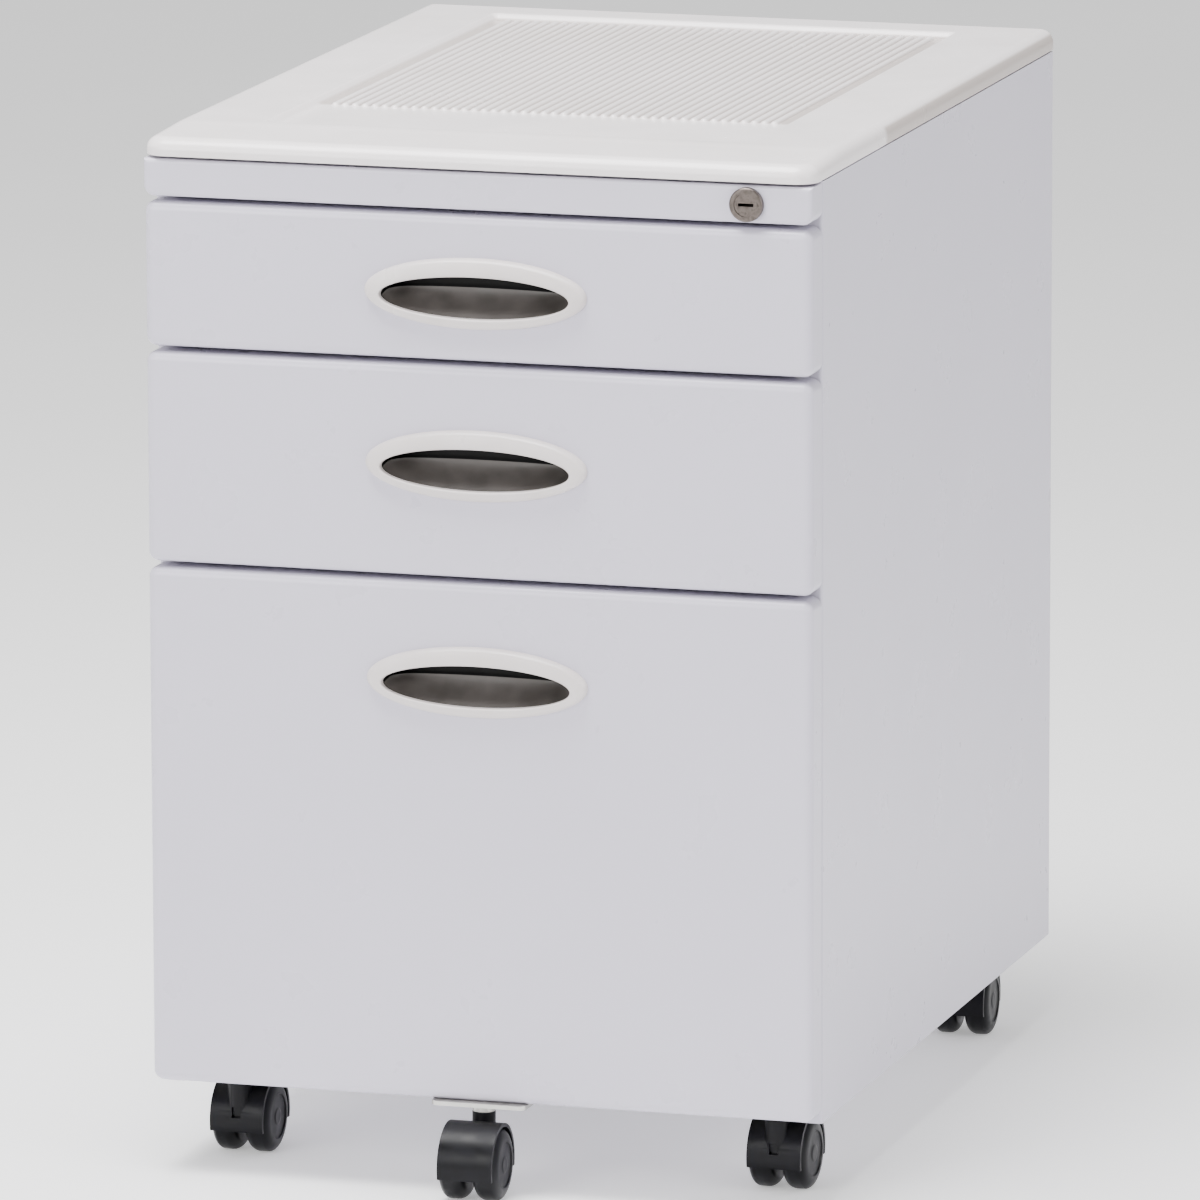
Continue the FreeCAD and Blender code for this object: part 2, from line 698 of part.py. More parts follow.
def make_handle(number, level):
    """An oval bezel on the face and the finger cup behind it."""
    bezel = new_body(f"drawer_{number}_handle_bezel")
    rim = oval(0, level, handle_half_width, handle_half_height)
    opening_level = level - opening_drop
    opening = oval(0, opening_level, opening_half_width, opening_half_height)
    add(bezel, "XZ", -bezel_height, 0, rim, opening)
    round_edges(bezel, bezel_rounding, lies_in("Y", -bezel_height))

    cup = new_body(f"drawer_{number}_handle_cup")
    cup_end = front_depth - cup_spare
    wall_width = opening_half_width + cup_wall
    wall_height = opening_half_height + cup_wall
    add(cup, "XZ", 0, cup_end, oval(0, opening_level, wall_width, wall_height))
    cut(cup, "XZ", 0, cup_end - cup_wall, opening)


def make_tray(number, floor, rim, catch_level):
    """A folded tray with an outward rim, and the tab that the lock bar holds."""
    tray = new_body(f"drawer_{number}_tray")
    outline = rectangle(-tray_side, tray_side, front_depth, tray_end)
    add(tray, "XY", floor, rim, outline)
    inside = rectangle(
        sheet_steel - tray_side,
        tray_side - sheet_steel,
        front_depth + sheet_steel,
        tray_end - sheet_steel,
    )
    cut(tray, "XY", floor + sheet_steel, rim, inside)
    # The side walls fold inwards at the rim, which stiffens them.
    lip_start = tray_side - sheet_steel - rim_flange
    lips = [
        rectangle(lip_start, tray_side - sheet_steel, rim - sheet_steel, rim),
        rectangle(sheet_steel - tray_side, -lip_start, rim - sheet_steel, rim),
    ]
    add(tray, "XZ", front_depth + sheet_steel, tray_end - sheet_steel, *lips)
    tab_start = bar_setback + notch_lip + catch_play
    tab = rectangle(tab_start, tab_start + catch_length, catch_level, catch_level + catch_steel)
    add(tray, "YZ", tray_side, bar_outer - bar_play, tab)


def slide_channel(label, web, way, reach, height, level):
    """One slide member: a channel whose web stands at x = web and opens along way."""
    member = new_body(label, listed=False)
    tip = web + way * reach
    step = way * slide_steel
    top = level + height / 2
    low = level - height / 2
    outline = polygon(
        (web, low),
        (tip, low),
        (tip, low + slide_steel),
        (web + step, low + slide_steel),
        (web + step, top - slide_steel),
        (tip, top - slide_steel),
        (tip, top),
        (web, top),
    )
    add(member, "XZ", slide_setback, slide_end, outline)
    return member


def make_ball_cage(label, inner_height, near, far, level, start, length):
    """Two retainer strips with balls, in the races above and below an inner member."""
    pieces = []
    middle = (near + far) / 2
    count = int(length.value / ball_spacing.value)
    for side, sign in (("upper", 1), ("lower", -1)):
        race_level = level + sign * (inner_height / 2 + race / 2)
        strip = new_body(f"{label}_{side}_strip", listed=False)
        low = race_level - retainer_steel / 2
        high = race_level + retainer_steel / 2
        add(strip, "XY", low, high, rectangle(near, far, start, start + length))
        places = [start + ball_spacing * (index + 0.5) for index in range(count)]
        holes = [disc(middle, y, ball_radius + ball_play) for y in places]
        cut(strip, "XY", low, high, *holes)
        pieces.append(strip)
        for index, y in enumerate(places):
            ball = doc.addObject("Part::Sphere", f"{label}_{side}_ball_{index + 1}")
            ball.setExpression("Radius", ball_radius.text)
            ball.setExpression("Placement.Base.x", middle.text)
            ball.setExpression("Placement.Base.y", y.text)
            ball.setExpression("Placement.Base.z", race_level.text)
            pieces.append(ball)
    group(label, pieces + [mirrored(piece) for piece in pieces])


def inner_height_of(outer_height):
    """Height of a member that runs on balls inside another."""
    return outer_height - 2 * slide_steel - 2 * race


def make_small_slides(number, level):
    """Two-member ball-bearing slides that open three quarters."""
    outer = slide_channel(
        f"drawer_{number}_outer_right", upright_face, -1, slide_depth - slide_steel - member_gap,
        small_slide_height, level
    )
    pair(f"drawer_{number}_slide_outer", outer)
    inner_height = inner_height_of(small_slide_height)
    inner = slide_channel(
        f"drawer_{number}_inner_right", tray_side, 1, slide_depth - slide_steel - member_gap,
        inner_height, level
    )
    pair(f"drawer_{number}_slide_inner", inner)
    travel = slide_length * partial_opening
    near = tray_side + slide_steel + member_gap
    far = upright_face - slide_steel - member_gap
    cage_length = slide_length - travel - ball_radius * 4
    label = f"drawer_{number}_ball_cages"
    make_ball_cage(label, inner_height, near, far, level, slide_setback + travel / 2, cage_length)


def make_large_slides(number, level):
    """Three-member slides that open fully; the middle member moves half as far."""
    reach = slide_depth - slide_steel - member_gap
    outer = slide_channel(
        f"drawer_{number}_outer_right", upright_face, -1, reach, large_slide_height, level
    )
    pair(f"drawer_{number}_slide_outer", outer)
    middle_web = upright_face - slide_steel - member_gap
    middle_reach = slide_depth - 2 * slide_steel - 2 * member_gap
    middle_height = inner_height_of(large_slide_height)
    middle = slide_channel(
        f"drawer_{number}_middle_right", middle_web, -1, middle_reach, middle_height, level
    )
    pair(f"drawer_{number}_slide_middle", middle)
    inner_height = inner_height_of(middle_height)
    inner_reach = middle_web - slide_steel - member_gap - tray_side
    inner = slide_channel(
        f"drawer_{number}_inner_right", tray_side, 1, inner_reach, inner_height, level
    )
    pair(f"drawer_{number}_slide_inner", inner)
    near = tray_side + slide_steel + member_gap
    cage_start = slide_setback + slide_length / 4
    cage_length = slide_length / 2 - ball_radius * 20
    outer_label = f"drawer_{number}_outer_ball_cages"
    outer_far = middle_web
    make_ball_cage(outer_label, middle_height, near, outer_far, level, cage_start, cage_length)
    inner_label = f"drawer_{number}_inner_ball_cages"
    inner_far = middle_web - slide_steel - member_gap
    make_ball_cage(inner_label, inner_height, near, inner_far, level, cage_start, cage_length)


# ---- Lock ----
def make_lock_housing():
    """A ring and barrel, bored in two steps for the plug, held by a flat-sided nut."""
    housing = new_body("lock_housing")
    add(housing, "XZ", -lock_ring_height, 0, disc(lock_offset, lock_level, lock_ring_radius))
    add(housing, "XZ", 0, barrel_length, disc(lock_offset, lock_level, lock_barrel_radius))
    round_edges(housing, plug_sink * 2, lies_in("Y", -lock_ring_height))
    head_end = plug_head_length - lock_ring_height + plug_sink
    wide_bore = disc(lock_offset, lock_level, plug_head_radius + plug_play)
    cut(housing, "XZ", -lock_ring_height, head_end + plug_play, wide_bore)
    narrow_bore = disc(lock_offset, lock_level, plug_radius + plug_play)
    cut(housing, "XZ", head_end, barrel_length, narrow_bore)

    nut = new_body("lock_nut")
    corner = lock_nut_half * 2 / math.sqrt(3)
    hexagon = polygon(
        (lock_offset - corner, lock_level),
        (lock_offset - corner / 2, lock_level - lock_nut_half),
        (lock_offset + corner / 2, lock_level - lock_nut_half),
        (lock_offset + corner, lock_level),
        (lock_offset + corner / 2, lock_level + lock_nut_half),
        (lock_offset - corner / 2, lock_level + lock_nut_half),
    )
    hole = disc(lock_offset, lock_level, lock_barrel_radius)
    add(nut, "XZ", sheet_steel, sheet_steel + lock_nut_height, hexagon, hole)


def make_lock_plug():
    """The turning plug with its keyway, and the cam on its rear end."""
    plug = new_body("lock_plug")
    face = plug_sink - lock_ring_height
    head_end = face + plug_head_length
    plug_end = barrel_length + swivel_gap
    add(plug, "XZ", face, head_end, disc(lock_offset, lock_level, plug_head_radius))
    add(plug, "XZ", head_end, plug_end, disc(lock_offset, lock_level, plug_radius))
    keyway = rectangle(
        lock_offset - keyway_length / 2,
        lock_offset + keyway_length / 2,
        lock_level - keyway_width / 2,
        lock_level + keyway_width / 2,
    )
    cut(plug, "XZ", face, face + keyway_depth, keyway)

    cam = new_body("lock_cam")
    cam_end = plug_end + cam_thickness
    add(cam, "XZ", plug_end, cam_end, disc(lock_offset, lock_level, cam_radius))
    pin_x = lock_offset + cam_throw * cosine(cam_start)
    pin_z = lock_level + cam_throw * sine(cam_start)
    pin_end = bar_setback + bar_steel
    add(cam, "XZ", cam_end, pin_end, disc(pin_x, pin_z, cam_pin_radius))


def make_lock_bar():
    """A sliding bar folded at the top: the cam's pin drives its head up and down."""
    bar = new_body("lock_bar")
    slot_middle = lock_level + cam_throw * sine(cam_start)
    head_high = side_top - sheet_steel - 2 * bar_play
    head_low = 2 * slot_middle - head_high
    lowest = catch_levels[2] - bar_width
    strip = rectangle(bar_setback, bar_setback + bar_width, lowest, head_high)
    add(bar, "YZ", bar_inner, bar_outer, strip)
    slot_start = lock_offset + cam_throw * cosine(cam_start) - cam_pin_radius - pin_play
    slot_end = lock_offset + cam_throw + cam_pin_radius + pin_play
    head = rectangle(slot_start - notch_lip, bar_inner, head_low, head_high)
    add(bar, "XZ", bar_setback, bar_setback + bar_steel, head)
    slot_half = cam_pin_radius + pin_play
    slot = rectangle(slot_start, slot_end, slot_middle - slot_half, slot_middle + slot_half)
    cut(bar, "XZ", bar_setback, bar_setback + bar_steel, slot)
    for level in catch_levels:
        # The mouth lets the tab out; the pocket above it holds the tab once the bar drops.
        low = level - catch_play
        mouth_top = level + catch_steel + catch_play
        pocket_top = mouth_top + bar_stroke
        finger = bar_setback + notch_lip
        deep = finger + catch_length + 2 * catch_play
        notch = polygon(
            (bar_setback, low),
            (deep, low),
            (deep, pocket_top),
            (finger, pocket_top),
            (finger, mouth_top),
            (bar_setback, mouth_top),
        )
        cut(bar, "YZ", bar_inner, bar_outer, notch)


def make_bar_guides():
    """Two straps on the right upright that keep the lock bar in its path."""
    levels = [
        catch_levels[2] + bar_width * 3.5,
        catch_levels[1] + catch_steel + catch_play * 2 + bar_stroke + 2,
    ]
    guides = []
    for index, level in enumerate(levels):
        guide = new_body(f"bar_guide_{index + 1}", listed=False)
        front = bar_setback - bar_play - guide_steel
        rear = bar_setback + bar_width + bar_play + guide_steel
        inside = bar_inner - bar_play - guide_steel
        outline = polygon(
            (upright_face, front),
            (upright_face, front + guide_steel),
            (inside + guide_steel, front + guide_steel),
            (inside + guide_steel, rear - guide_steel),
            (upright_face, rear - guide_steel),
            (upright_face, rear),
            (inside, rear),
            (inside, front),
        )
        add(guide, "XY", level, level + guide_height, outline)
        guides.append(guide)
    group("lock_bar_guides", guides)


# ---- Casters ----
def stand_at(piece, x, y, turn):
    """Places a caster piece, drawn about its kingpin, at its spot under the cabinet."""
    piece.Placement = FreeCAD.Placement(FreeCAD.Vector(), FreeCAD.Rotation(FreeCAD.Vector(0, 0, 1), 0))
    piece.setExpression("Placement.Base.x", x.text)
    piece.setExpression("Placement.Base.y", y.text)
    piece.setExpression("Placement.Rotation.Angle", turn.text)


def caster_plate(label, listed):
    """A plate with rounded corners and the boss that the kingpin is riveted in."""
    plate = new_body(label, listed)
    half_long = plate_length / 2
    half_wide = plate_width / 2
    outline = rectangle(-half_long, half_long, -half_wide, half_wide)
    add(plate, "XY", plate_under, plate_top, outline)
    round_edges(plate, plate_corner, runs_along("Z"))
    add(plate, "XY", boss_under, plate_under, disc(0, 0, boss_radius))
    cut(plate, "XY", boss_under, plate_top, disc(0, 0, kingpin_radius))
    return plate


def caster_kingpin(label, listed):
    """The pin that the hood turns on, flush with the top of its plate."""
    kingpin = new_body(label, listed)
    add(kingpin, "XY", collar_top - kingpin_reach, plate_top, disc(0, 0, kingpin_radius))
    return kingpin


def make_caster(label, x, y, turn):
    """One hood with its axle and its pair of wheels, behind the kingpin by the trail."""
    hood = new_body(label + "_hood")
    well = disc(trail, wheel_radius, wheel_radius + wheel_play)
    add(hood, "YZ", -hood_half, hood_half, disc(trail, wheel_radius, hood_radius))
    add(hood, "XY", wheel_radius, collar_top, disc(0, 0, collar_radius))
    cut(hood, "YZ", web_thickness / 2, hood_half + collar_radius, well)
    cut(hood, "YZ", -hood_half - collar_radius, -web_thickness / 2, well)
    behind = trail + hood_radius + 1
    ahead = trail - hood_radius - 1
    wide = hood_half + collar_radius
    open_side = rectangle(ahead, behind, -hood_radius, hood_clearance)
    cut(hood, "YZ", -wide, wide, open_side)
    slot_end = trail - hood_radius + slot_depth
    slot = rectangle(ahead, slot_end, slot_clearance, slot_clearance + slot_height)
    cut(hood, "YZ", -slot_width / 2, slot_width / 2, slot)
    bore = disc(0, 0, kingpin_radius + kingpin_play)
    cut(hood, "XY", collar_top - kingpin_reach - swivel_gap, collar_top, bore)
    cut(hood, "YZ", -web_thickness, web_thickness, disc(trail, wheel_radius, axle_radius))
    stand_at(hood, x, face_y + y, turn)

    axle = new_body(label + "_axle")
    axle_half = hood_half - wheel_play * 2
    add(axle, "YZ", -axle_half, axle_half, disc(trail, wheel_radius, axle_radius))
    stand_at(axle, x, face_y + y, turn)

    wheel = new_body(label + "_wheel_right", listed=False)
    near = web_thickness / 2 + wheel_play
    far = near + wheel_width
    add(wheel, "YZ", near, far, disc(trail, wheel_radius, wheel_radius))
    round_edges(wheel, inner_rounding, lies_in("X", near))
    round_edges(wheel, outer_rounding, lies_in("X", far))
    bore_end = axle_half + wheel_play / 2
    cut(wheel, "YZ", near, bore_end, disc(trail, wheel_radius, axle_radius + axle_play))
    wheels = pair(label + "_wheels", wheel)
    stand_at(wheels, x, face_y + y, turn)


def make_corner_casters():
    """Four casters under the bottom panel; the plates and the kingpins share two nodes."""
    across = half_width - corner_inset
    rear = body_depth - rear_kingpin_inset
    corners = (
        ("front_left", -across, front_kingpin_setback, swivel_front_left),
        ("front_right", across, front_kingpin_setback, swivel_front_right),
        ("rear_left", -across, rear, swivel_rear_left),
        ("rear_right", across, rear, swivel_rear_right),
    )
    plates = []
    kingpins = []
    for name, x, y, turn in corners:
        plate = caster_plate(f"{name}_plate", False)
        kingpin = caster_kingpin(f"{name}_kingpin", False)
        for piece in (plate, kingpin):
            piece.setExpression("Placement.Base.x", x.text)
            piece.setExpression("Placement.Base.y", y.text)
        plates.append(plate)
        kingpins.append(kingpin)
        make_caster(f"caster_{name}", x, y, turn)
    group("corner_caster_plates", plates)
    group("corner_caster_kingpins", kingpins)


def make_fifth_caster():
    """The anti-tip caster, bolted under the front of the bottom drawer."""
    bracket = new_body("drawer_3_caster_bracket")
    low = underside + sheet_steel
    start = front_edge_radius
    outline = rectangle(-bracket_width / 2, bracket_width / 2, start, start + bracket_length)
    add(bracket, "XY", low, tray_floors[2], outline)
    plate = caster_plate("fifth_caster_plate", True)
    kingpin = caster_kingpin("fifth_caster_kingpin", True)
    for piece in (plate, kingpin):
        piece.setExpression("Placement.Base.y", (face_y + fifth_kingpin_setback).text)
    make_caster("caster_fifth", as_size(0), fifth_kingpin_setback, swivel_fifth)


def build():
    make_side_panel("left_side_panel", -1)
    make_side_panel("right_side_panel", 1)
    make_back_panel()
    make_bottom_panel()
    make_inner_top_panel()
    make_uprights("front_uprights", front_depth + front_clearance + fold_radius, front_upright_length)
    make_uprights("rear_uprights", slide_end - rear_upright_length, rear_upright_length)
    make_fascia()
    make_cover()
    make_cover_screws()
    for index in range(3):
        number = index + 1
        make_front(number, front_bottoms[index], front_tops[index], handle_levels[index])
        make_handle(number, handle_levels[index])
        make_tray(number, tray_floors[index], tray_rims[index], catch_levels[index])
    make_small_slides(1, slide_levels[0])
    make_small_slides(2, slide_levels[1])
    make_large_slides(3, slide_levels[2])
    make_lock_housing()
    make_lock_plug()
    make_lock_bar()
    make_bar_guides()
    make_corner_casters()
    make_fifth_caster()


def check_and_export():
    """Stops on any failed object, then writes one file for each piece."""
    doc.recompute()
    for item in doc.Objects:
        if "Invalid" in item.State or "Error" in item.State:
            raise RuntimeError(f"{item.Label} failed: {item.State}")
    os.makedirs("parts", exist_ok=True)
    for piece in sub_parts:
        shape = piece.Shape
        if shape.isNull() or not shape.isValid():
            raise RuntimeError(f"{piece.Label} has no valid shape")
        shape.exportStep(os.path.join("parts", piece.Label + ".step"))
        print(f"{piece.Label}: {len(shape.Solids)} solids, {shape.Volume / 1000:.2f} cm3")


build()
check_and_export()
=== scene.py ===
import json
import math

import bmesh
import bpy
from mathutils import Matrix, Vector


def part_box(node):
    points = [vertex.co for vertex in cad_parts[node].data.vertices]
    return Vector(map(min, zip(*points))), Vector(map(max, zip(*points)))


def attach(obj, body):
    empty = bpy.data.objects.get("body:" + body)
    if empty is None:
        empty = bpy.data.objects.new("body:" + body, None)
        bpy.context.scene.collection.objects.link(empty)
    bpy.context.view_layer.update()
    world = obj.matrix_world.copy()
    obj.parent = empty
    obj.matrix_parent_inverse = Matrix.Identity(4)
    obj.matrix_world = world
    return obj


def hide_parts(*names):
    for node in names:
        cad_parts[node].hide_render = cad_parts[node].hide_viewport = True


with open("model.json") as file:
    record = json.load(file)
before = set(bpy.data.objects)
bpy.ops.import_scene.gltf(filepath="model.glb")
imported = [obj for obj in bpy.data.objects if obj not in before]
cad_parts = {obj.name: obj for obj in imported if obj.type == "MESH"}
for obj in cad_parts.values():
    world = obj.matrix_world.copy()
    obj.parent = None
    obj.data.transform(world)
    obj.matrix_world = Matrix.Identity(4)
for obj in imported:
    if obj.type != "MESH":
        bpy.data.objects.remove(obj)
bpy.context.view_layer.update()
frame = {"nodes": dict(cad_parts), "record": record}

# ---- Carcass ----
# Two folded side sheets, a back, a bottom and an inner top, spot-welded to four uprights.
# All are 1 mm cold-rolled steel, sprayed with a light lavender-grey powder and baked.
MM = 0.001


def colour(code):
    """An sRGB hex colour as the linear RGBA that shaders use."""
    channels = [int(code[i:i + 2], 16) / 255 for i in (0, 2, 4)]
    linear = [c / 12.92 if c <= 0.04045 else ((c + 0.055) / 1.055) ** 2.4 for c in channels]
    return (*linear, 1)


def add_node(tree, kind, links=None, inputs=None, stops=(), **settings):
    """Adds one shader node with its properties, socket values, ramp stops and incoming links."""
    node = tree.nodes.new("ShaderNode" + kind)
    for name, value in settings.items():
        setattr(node, name, value)
    for name, value in (inputs or {}).items():
        node.inputs[name].default_value = value
    for name, source in (links or {}).items():
        tree.links.new(source, node.inputs[name])
    for index, (position, code) in enumerate(stops):
        elements = node.color_ramp.elements
        element = elements[index] if index < 2 else elements.new(position)
        element.position, element.color = position, colour(code)
    return node


def new_material(name):
    """An empty node material with its Principled shader and its object-space coordinates."""
    material = bpy.data.materials.new(name)
    material.use_nodes = True
    tree = material.node_tree
    tree.nodes.clear()
    shader = add_node(tree, "BsdfPrincipled")
    output = add_node(tree, "OutputMaterial")
    tree.links.new(shader.outputs["BSDF"], output.inputs["Surface"])
    place = add_node(tree, "TexCoord").outputs["Object"]
    return material, tree, shader, place


def per_metre(millimetres):
    """Noise scale for a feature of that size."""
    return 1000 / millimetres


# Polyester powder coat: a smooth gloss skin with a faint orange peel of about 2 mm, so that
# highlights are soft-edged.
coated_steel, tree, shader, place = new_material("powder_coated_steel")
cloud = add_node(tree, "TexNoise", {"Vector": place}, {"Scale": per_metre(160), "Detail": 3})
tint = add_node(tree, "ValToRGB", {"Fac": cloud.outputs["Fac"]}, stops=((0.35, "C8C4D2"), (0.7, "C6C2D0")))
tree.links.new(tint.outputs["Color"], shader.inputs["Base Color"])
peel = add_node(tree, "TexNoise", {"Vector": place}, {"Scale": per_metre(2), "Detail": 2})
relief = add_node(tree, "Bump", {"Height": peel.outputs["Fac"]}, {"Strength": 0.05, "Distance": 0.1 * MM})
tree.links.new(relief.outputs["Normal"], shader.inputs["Normal"])
smear = add_node(tree, "TexNoise", {"Vector": place}, {"Scale": per_metre(38), "Detail": 5})
gloss = add_node(tree, "MapRange", {"Value": smear.outputs["Fac"]},
                 {"From Min": 0.3, "From Max": 0.75, "To Min": 0.27, "To Max": 0.3})
tree.links.new(gloss.outputs["Result"], shader.inputs["Roughness"])
shader.inputs["IOR"].default_value = 1.5


def finish_nodes(material, *nodes):
    """Gives CAD nodes that stay as they are a made material."""
    for name in nodes:
        node = frame["nodes"][name]
        node.data.materials.clear()
        node.data.materials.append(material)


finish_nodes(coated_steel, "left_side_panel", "right_side_panel", "back_panel", "bottom_panel")
finish_nodes(coated_steel, "inner_top_panel", "front_uprights", "rear_uprights")


# ---- Drawer fronts and fascia ----
# Each front is one sheet folded back on all four sides and rounded on every outer edge; the
# fascia above is the same, with square upper corners that go under the cover.
def rounded_rectangle(low, high, radii, steps=8):
    """Points round a rectangle from its lower right corner; radii go corner by corner."""
    corners = ((high[0], low[1]), high, (low[0], high[1]), low)
    points = []
    for index, (across, upward) in enumerate(corners):
        radius = max(radii[index], 0.01 * MM)
        middle_x = across + (radius if across == low[0] else -radius)
        middle_y = upward + (radius if upward == low[1] else -radius)
        for step in range(steps + 1):
            angle = math.pi / 2 * (index - 1 + step / steps)
            points.append((middle_x + radius * math.cos(angle), middle_y + radius * math.sin(angle)))
    return points


def ellipse(centre, half_wide, half_high, count=96):
    turns = [2 * math.pi * i / count for i in range(count)]
    return [(centre[0] + half_wide * math.cos(a), centre[1] + half_high * math.sin(a)) for a in turns]


def ring_of(bm, points):
    return [bm.verts.new(point) for point in points]


def skin(bm, rings, wrap=False):
    """Faces between neighbouring rings of points; wrap joins the last ring to the first."""
    pairs = list(zip(rings, rings[1:]))
    if wrap:
        pairs.append((rings[-1], rings[0]))
    for first, second in pairs:
        count = len(first)
        for i in range(count):
            j = (i + 1) % count
            bm.faces.new((first[i], first[j], second[j], second[i]))


def fill_flat(bm, *rings):
    """Fills the flat area bounded by one ring, less any rings inside it."""
    edges = []
    for ring in rings:
        for i, vertex in enumerate(ring):
            neighbour = ring[(i + 1) % len(ring)]
            edge = bm.edges.get((vertex, neighbour)) or bm.edges.new((vertex, neighbour))
            edges.append(edge)
    bmesh.ops.triangle_fill(bm, use_beauty=True, use_dissolve=False, edges=edges)


def make_piece(name, bm, material, body, *replaced, smooth_under=40):
    """Turns a bmesh into a smooth-shaded piece that rides on a body and stands for CAD nodes."""
    bmesh.ops.recalc_face_normals(bm, faces=bm.faces)
    mesh = bpy.data.meshes.new(name)
    bm.to_mesh(mesh)
    bm.free()
    mesh.polygons.foreach_set("use_smooth", [True] * len(mesh.polygons))
    mesh.set_sharp_from_angle(angle=math.radians(smooth_under))
    mesh.materials.append(material)
    piece = bpy.data.objects.new(name, mesh)
    bpy.context.scene.collection.objects.link(piece)
    even = piece.modifiers.new("even_normals", "WEIGHTED_NORMAL")
    even.keep_sharp = True
    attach(piece, body)
    if replaced:
        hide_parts(*replaced)
    return piece


SHEET = 1 * MM
CORNER = 6 * MM
PLAY = 0.3 * MM
LOCK_BARREL = 7 * MM
FRONT_ROUNDING = 5 * MM
FASCIA_ROUNDING = 2.2 * MM


def front_rings(bm, low, high, corners, rounding, thickness):
    """Rings from the rear edge of a folded front round to its flat face."""
    rings = []
    depths = [(0, high.y), (0, low.y + rounding)]
    for step in range(1, 9):
        angle = math.pi / 2 * step / 8
        depths.append((rounding * (1 - math.cos(angle)), low.y + rounding * (1 - math.sin(angle))))
    depths.append((rounding + 0.5 * MM, low.y))
    bend = rounding - thickness
    for inset, y in depths:
        if thickness:
            inset = thickness + inset * bend / rounding
            y = high.y if y == high.y else low.y + thickness + (y - low.y) * bend / rounding
        radii = [max(corner - inset, 0.3 * MM) if corner else 0 for corner in corners]
        outline = rounded_rectangle((low.x + inset, low.z + inset),
                                    (high.x - inset, high.z - inset), radii)
        rings.append(ring_of(bm, [(x, y, z) for x, z in outline]))
    return rings


def folded_front(name, node, body, rounding, corners, hole):
    """A folded sheet with one hole, in place of the CAD front of that name."""
    low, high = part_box(node)
    bm = bmesh.new()
    outside = front_rings(bm, low, high, corners, rounding, 0)
    inside = front_rings(bm, low, high, corners, rounding, SHEET)
    skin(bm, outside)
    skin(bm, inside)
    skin(bm, [outside[0], inside[0]])
    hole_face = ring_of(bm, [(x, low.y, z) for x, z in hole])
    hole_back = ring_of(bm, [(x, low.y + SHEET, z) for x, z in hole])
    skin(bm, [hole_face, hole_back])
    fill_flat(bm, outside[-1], hole_face)
    fill_flat(bm, inside[-1], hole_back)
    make_piece(name, bm, coated_steel, body, node)


low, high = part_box("lock_housing")
lock_axis = (low + high) / 2
lock_hole = ellipse((lock_axis.x, lock_axis.z), LOCK_BARREL, LOCK_BARREL, 48)
folded_front("fascia_sheet", "front_fascia", "cabinet", FASCIA_ROUNDING, (CORNER, 0, 0, CORNER), lock_hole)
for number in (1, 2, 3):
    low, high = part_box(f"drawer_{number}_handle_cup")
    cup_hole = ellipse(((low.x + high.x) / 2, (low.z + high.z) / 2),
                       (high.x - low.x) / 2 + PLAY, (high.z - low.z) / 2 + PLAY)
    folded_front(f"drawer_{number}_front_sheet", f"drawer_{number}_front", f"drawer_{number}",
                 FRONT_ROUNDING, (CORNER,) * 4, cup_hole)

# ---- Top cover ----
# One shallow tray of off-white ASA resin, injection moulded and screwed down from inside. Its front
# border slopes gently to a rolled edge; the middle is sunk 3.5 mm and carries moulded ribs.
def smooth_rise(value):
    """0 below 0, 1 above 1, with a soft start and end."""
    value = min(max(value, 0), 1)
    return value * value * (3 - 2 * value)


cover_low, cover_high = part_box("top_cover")
face_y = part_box("drawer_1_front")[0].y
FRONT_BORDER = 60 * MM
RECESS_HALF = 146 * MM
RECESS_WALL = 5 * MM
RECESS_DEPTH = 3.5 * MM
RECESS_SLOPE = 12 * MM
RECESS_REAR = face_y + 503.7 * MM
FALL_SLOPE = 0.034
FALL_SOFTNESS = 16 * MM
RIB_START = face_y + 150 * MM
RIB_REAR = RECESS_REAR - 8 * MM
RIB_PITCH = 6 * MM
RIB_COUNT = 45
RIB_HEIGHT = 1.5 * MM
ROLL = 8 * MM
COVER_WALL = 3 * MM
COVER_CORNERS = (13 * MM, 8.5 * MM, 8.5 * MM, 13 * MM)
UNDERSIDE_DEPTH = 6.5 * MM


def front_fall(y):
    """How far the front border has dropped below the rim, at a distance behind the faces."""
    ahead = face_y + FRONT_BORDER - y
    return FALL_SLOPE * ahead * smooth_rise(ahead / FALL_SOFTNESS) if ahead > 0 else 0


def cover_surface(x, y):
    """Height of the cover's upper surface."""
    inward = smooth_rise((RECESS_HALF - abs(x)) / RECESS_WALL)
    inward *= smooth_rise((y - face_y - FRONT_BORDER) / RECESS_SLOPE)
    inward *= smooth_rise((RECESS_REAR - y) / RECESS_WALL)
    height = cover_high.z - front_fall(y) - RECESS_DEPTH * inward
    across = abs((x / RIB_PITCH + 0.5) % 1 - 0.5) * RIB_PITCH
    if across < 2.2 * MM and abs(x) < RIB_COUNT / 2 * RIB_PITCH:
        crown = smooth_rise((2.3 * MM - across) / (1.1 * MM))
        round_end = (across / MM) ** 2 * 0.35 * MM
        begins = smooth_rise((y - RIB_START - round_end) / (1.6 * MM))
        ends = smooth_rise((RIB_REAR - round_end - y) / (1.6 * MM))
        height += RIB_HEIGHT * crown * begins * ends
    return height


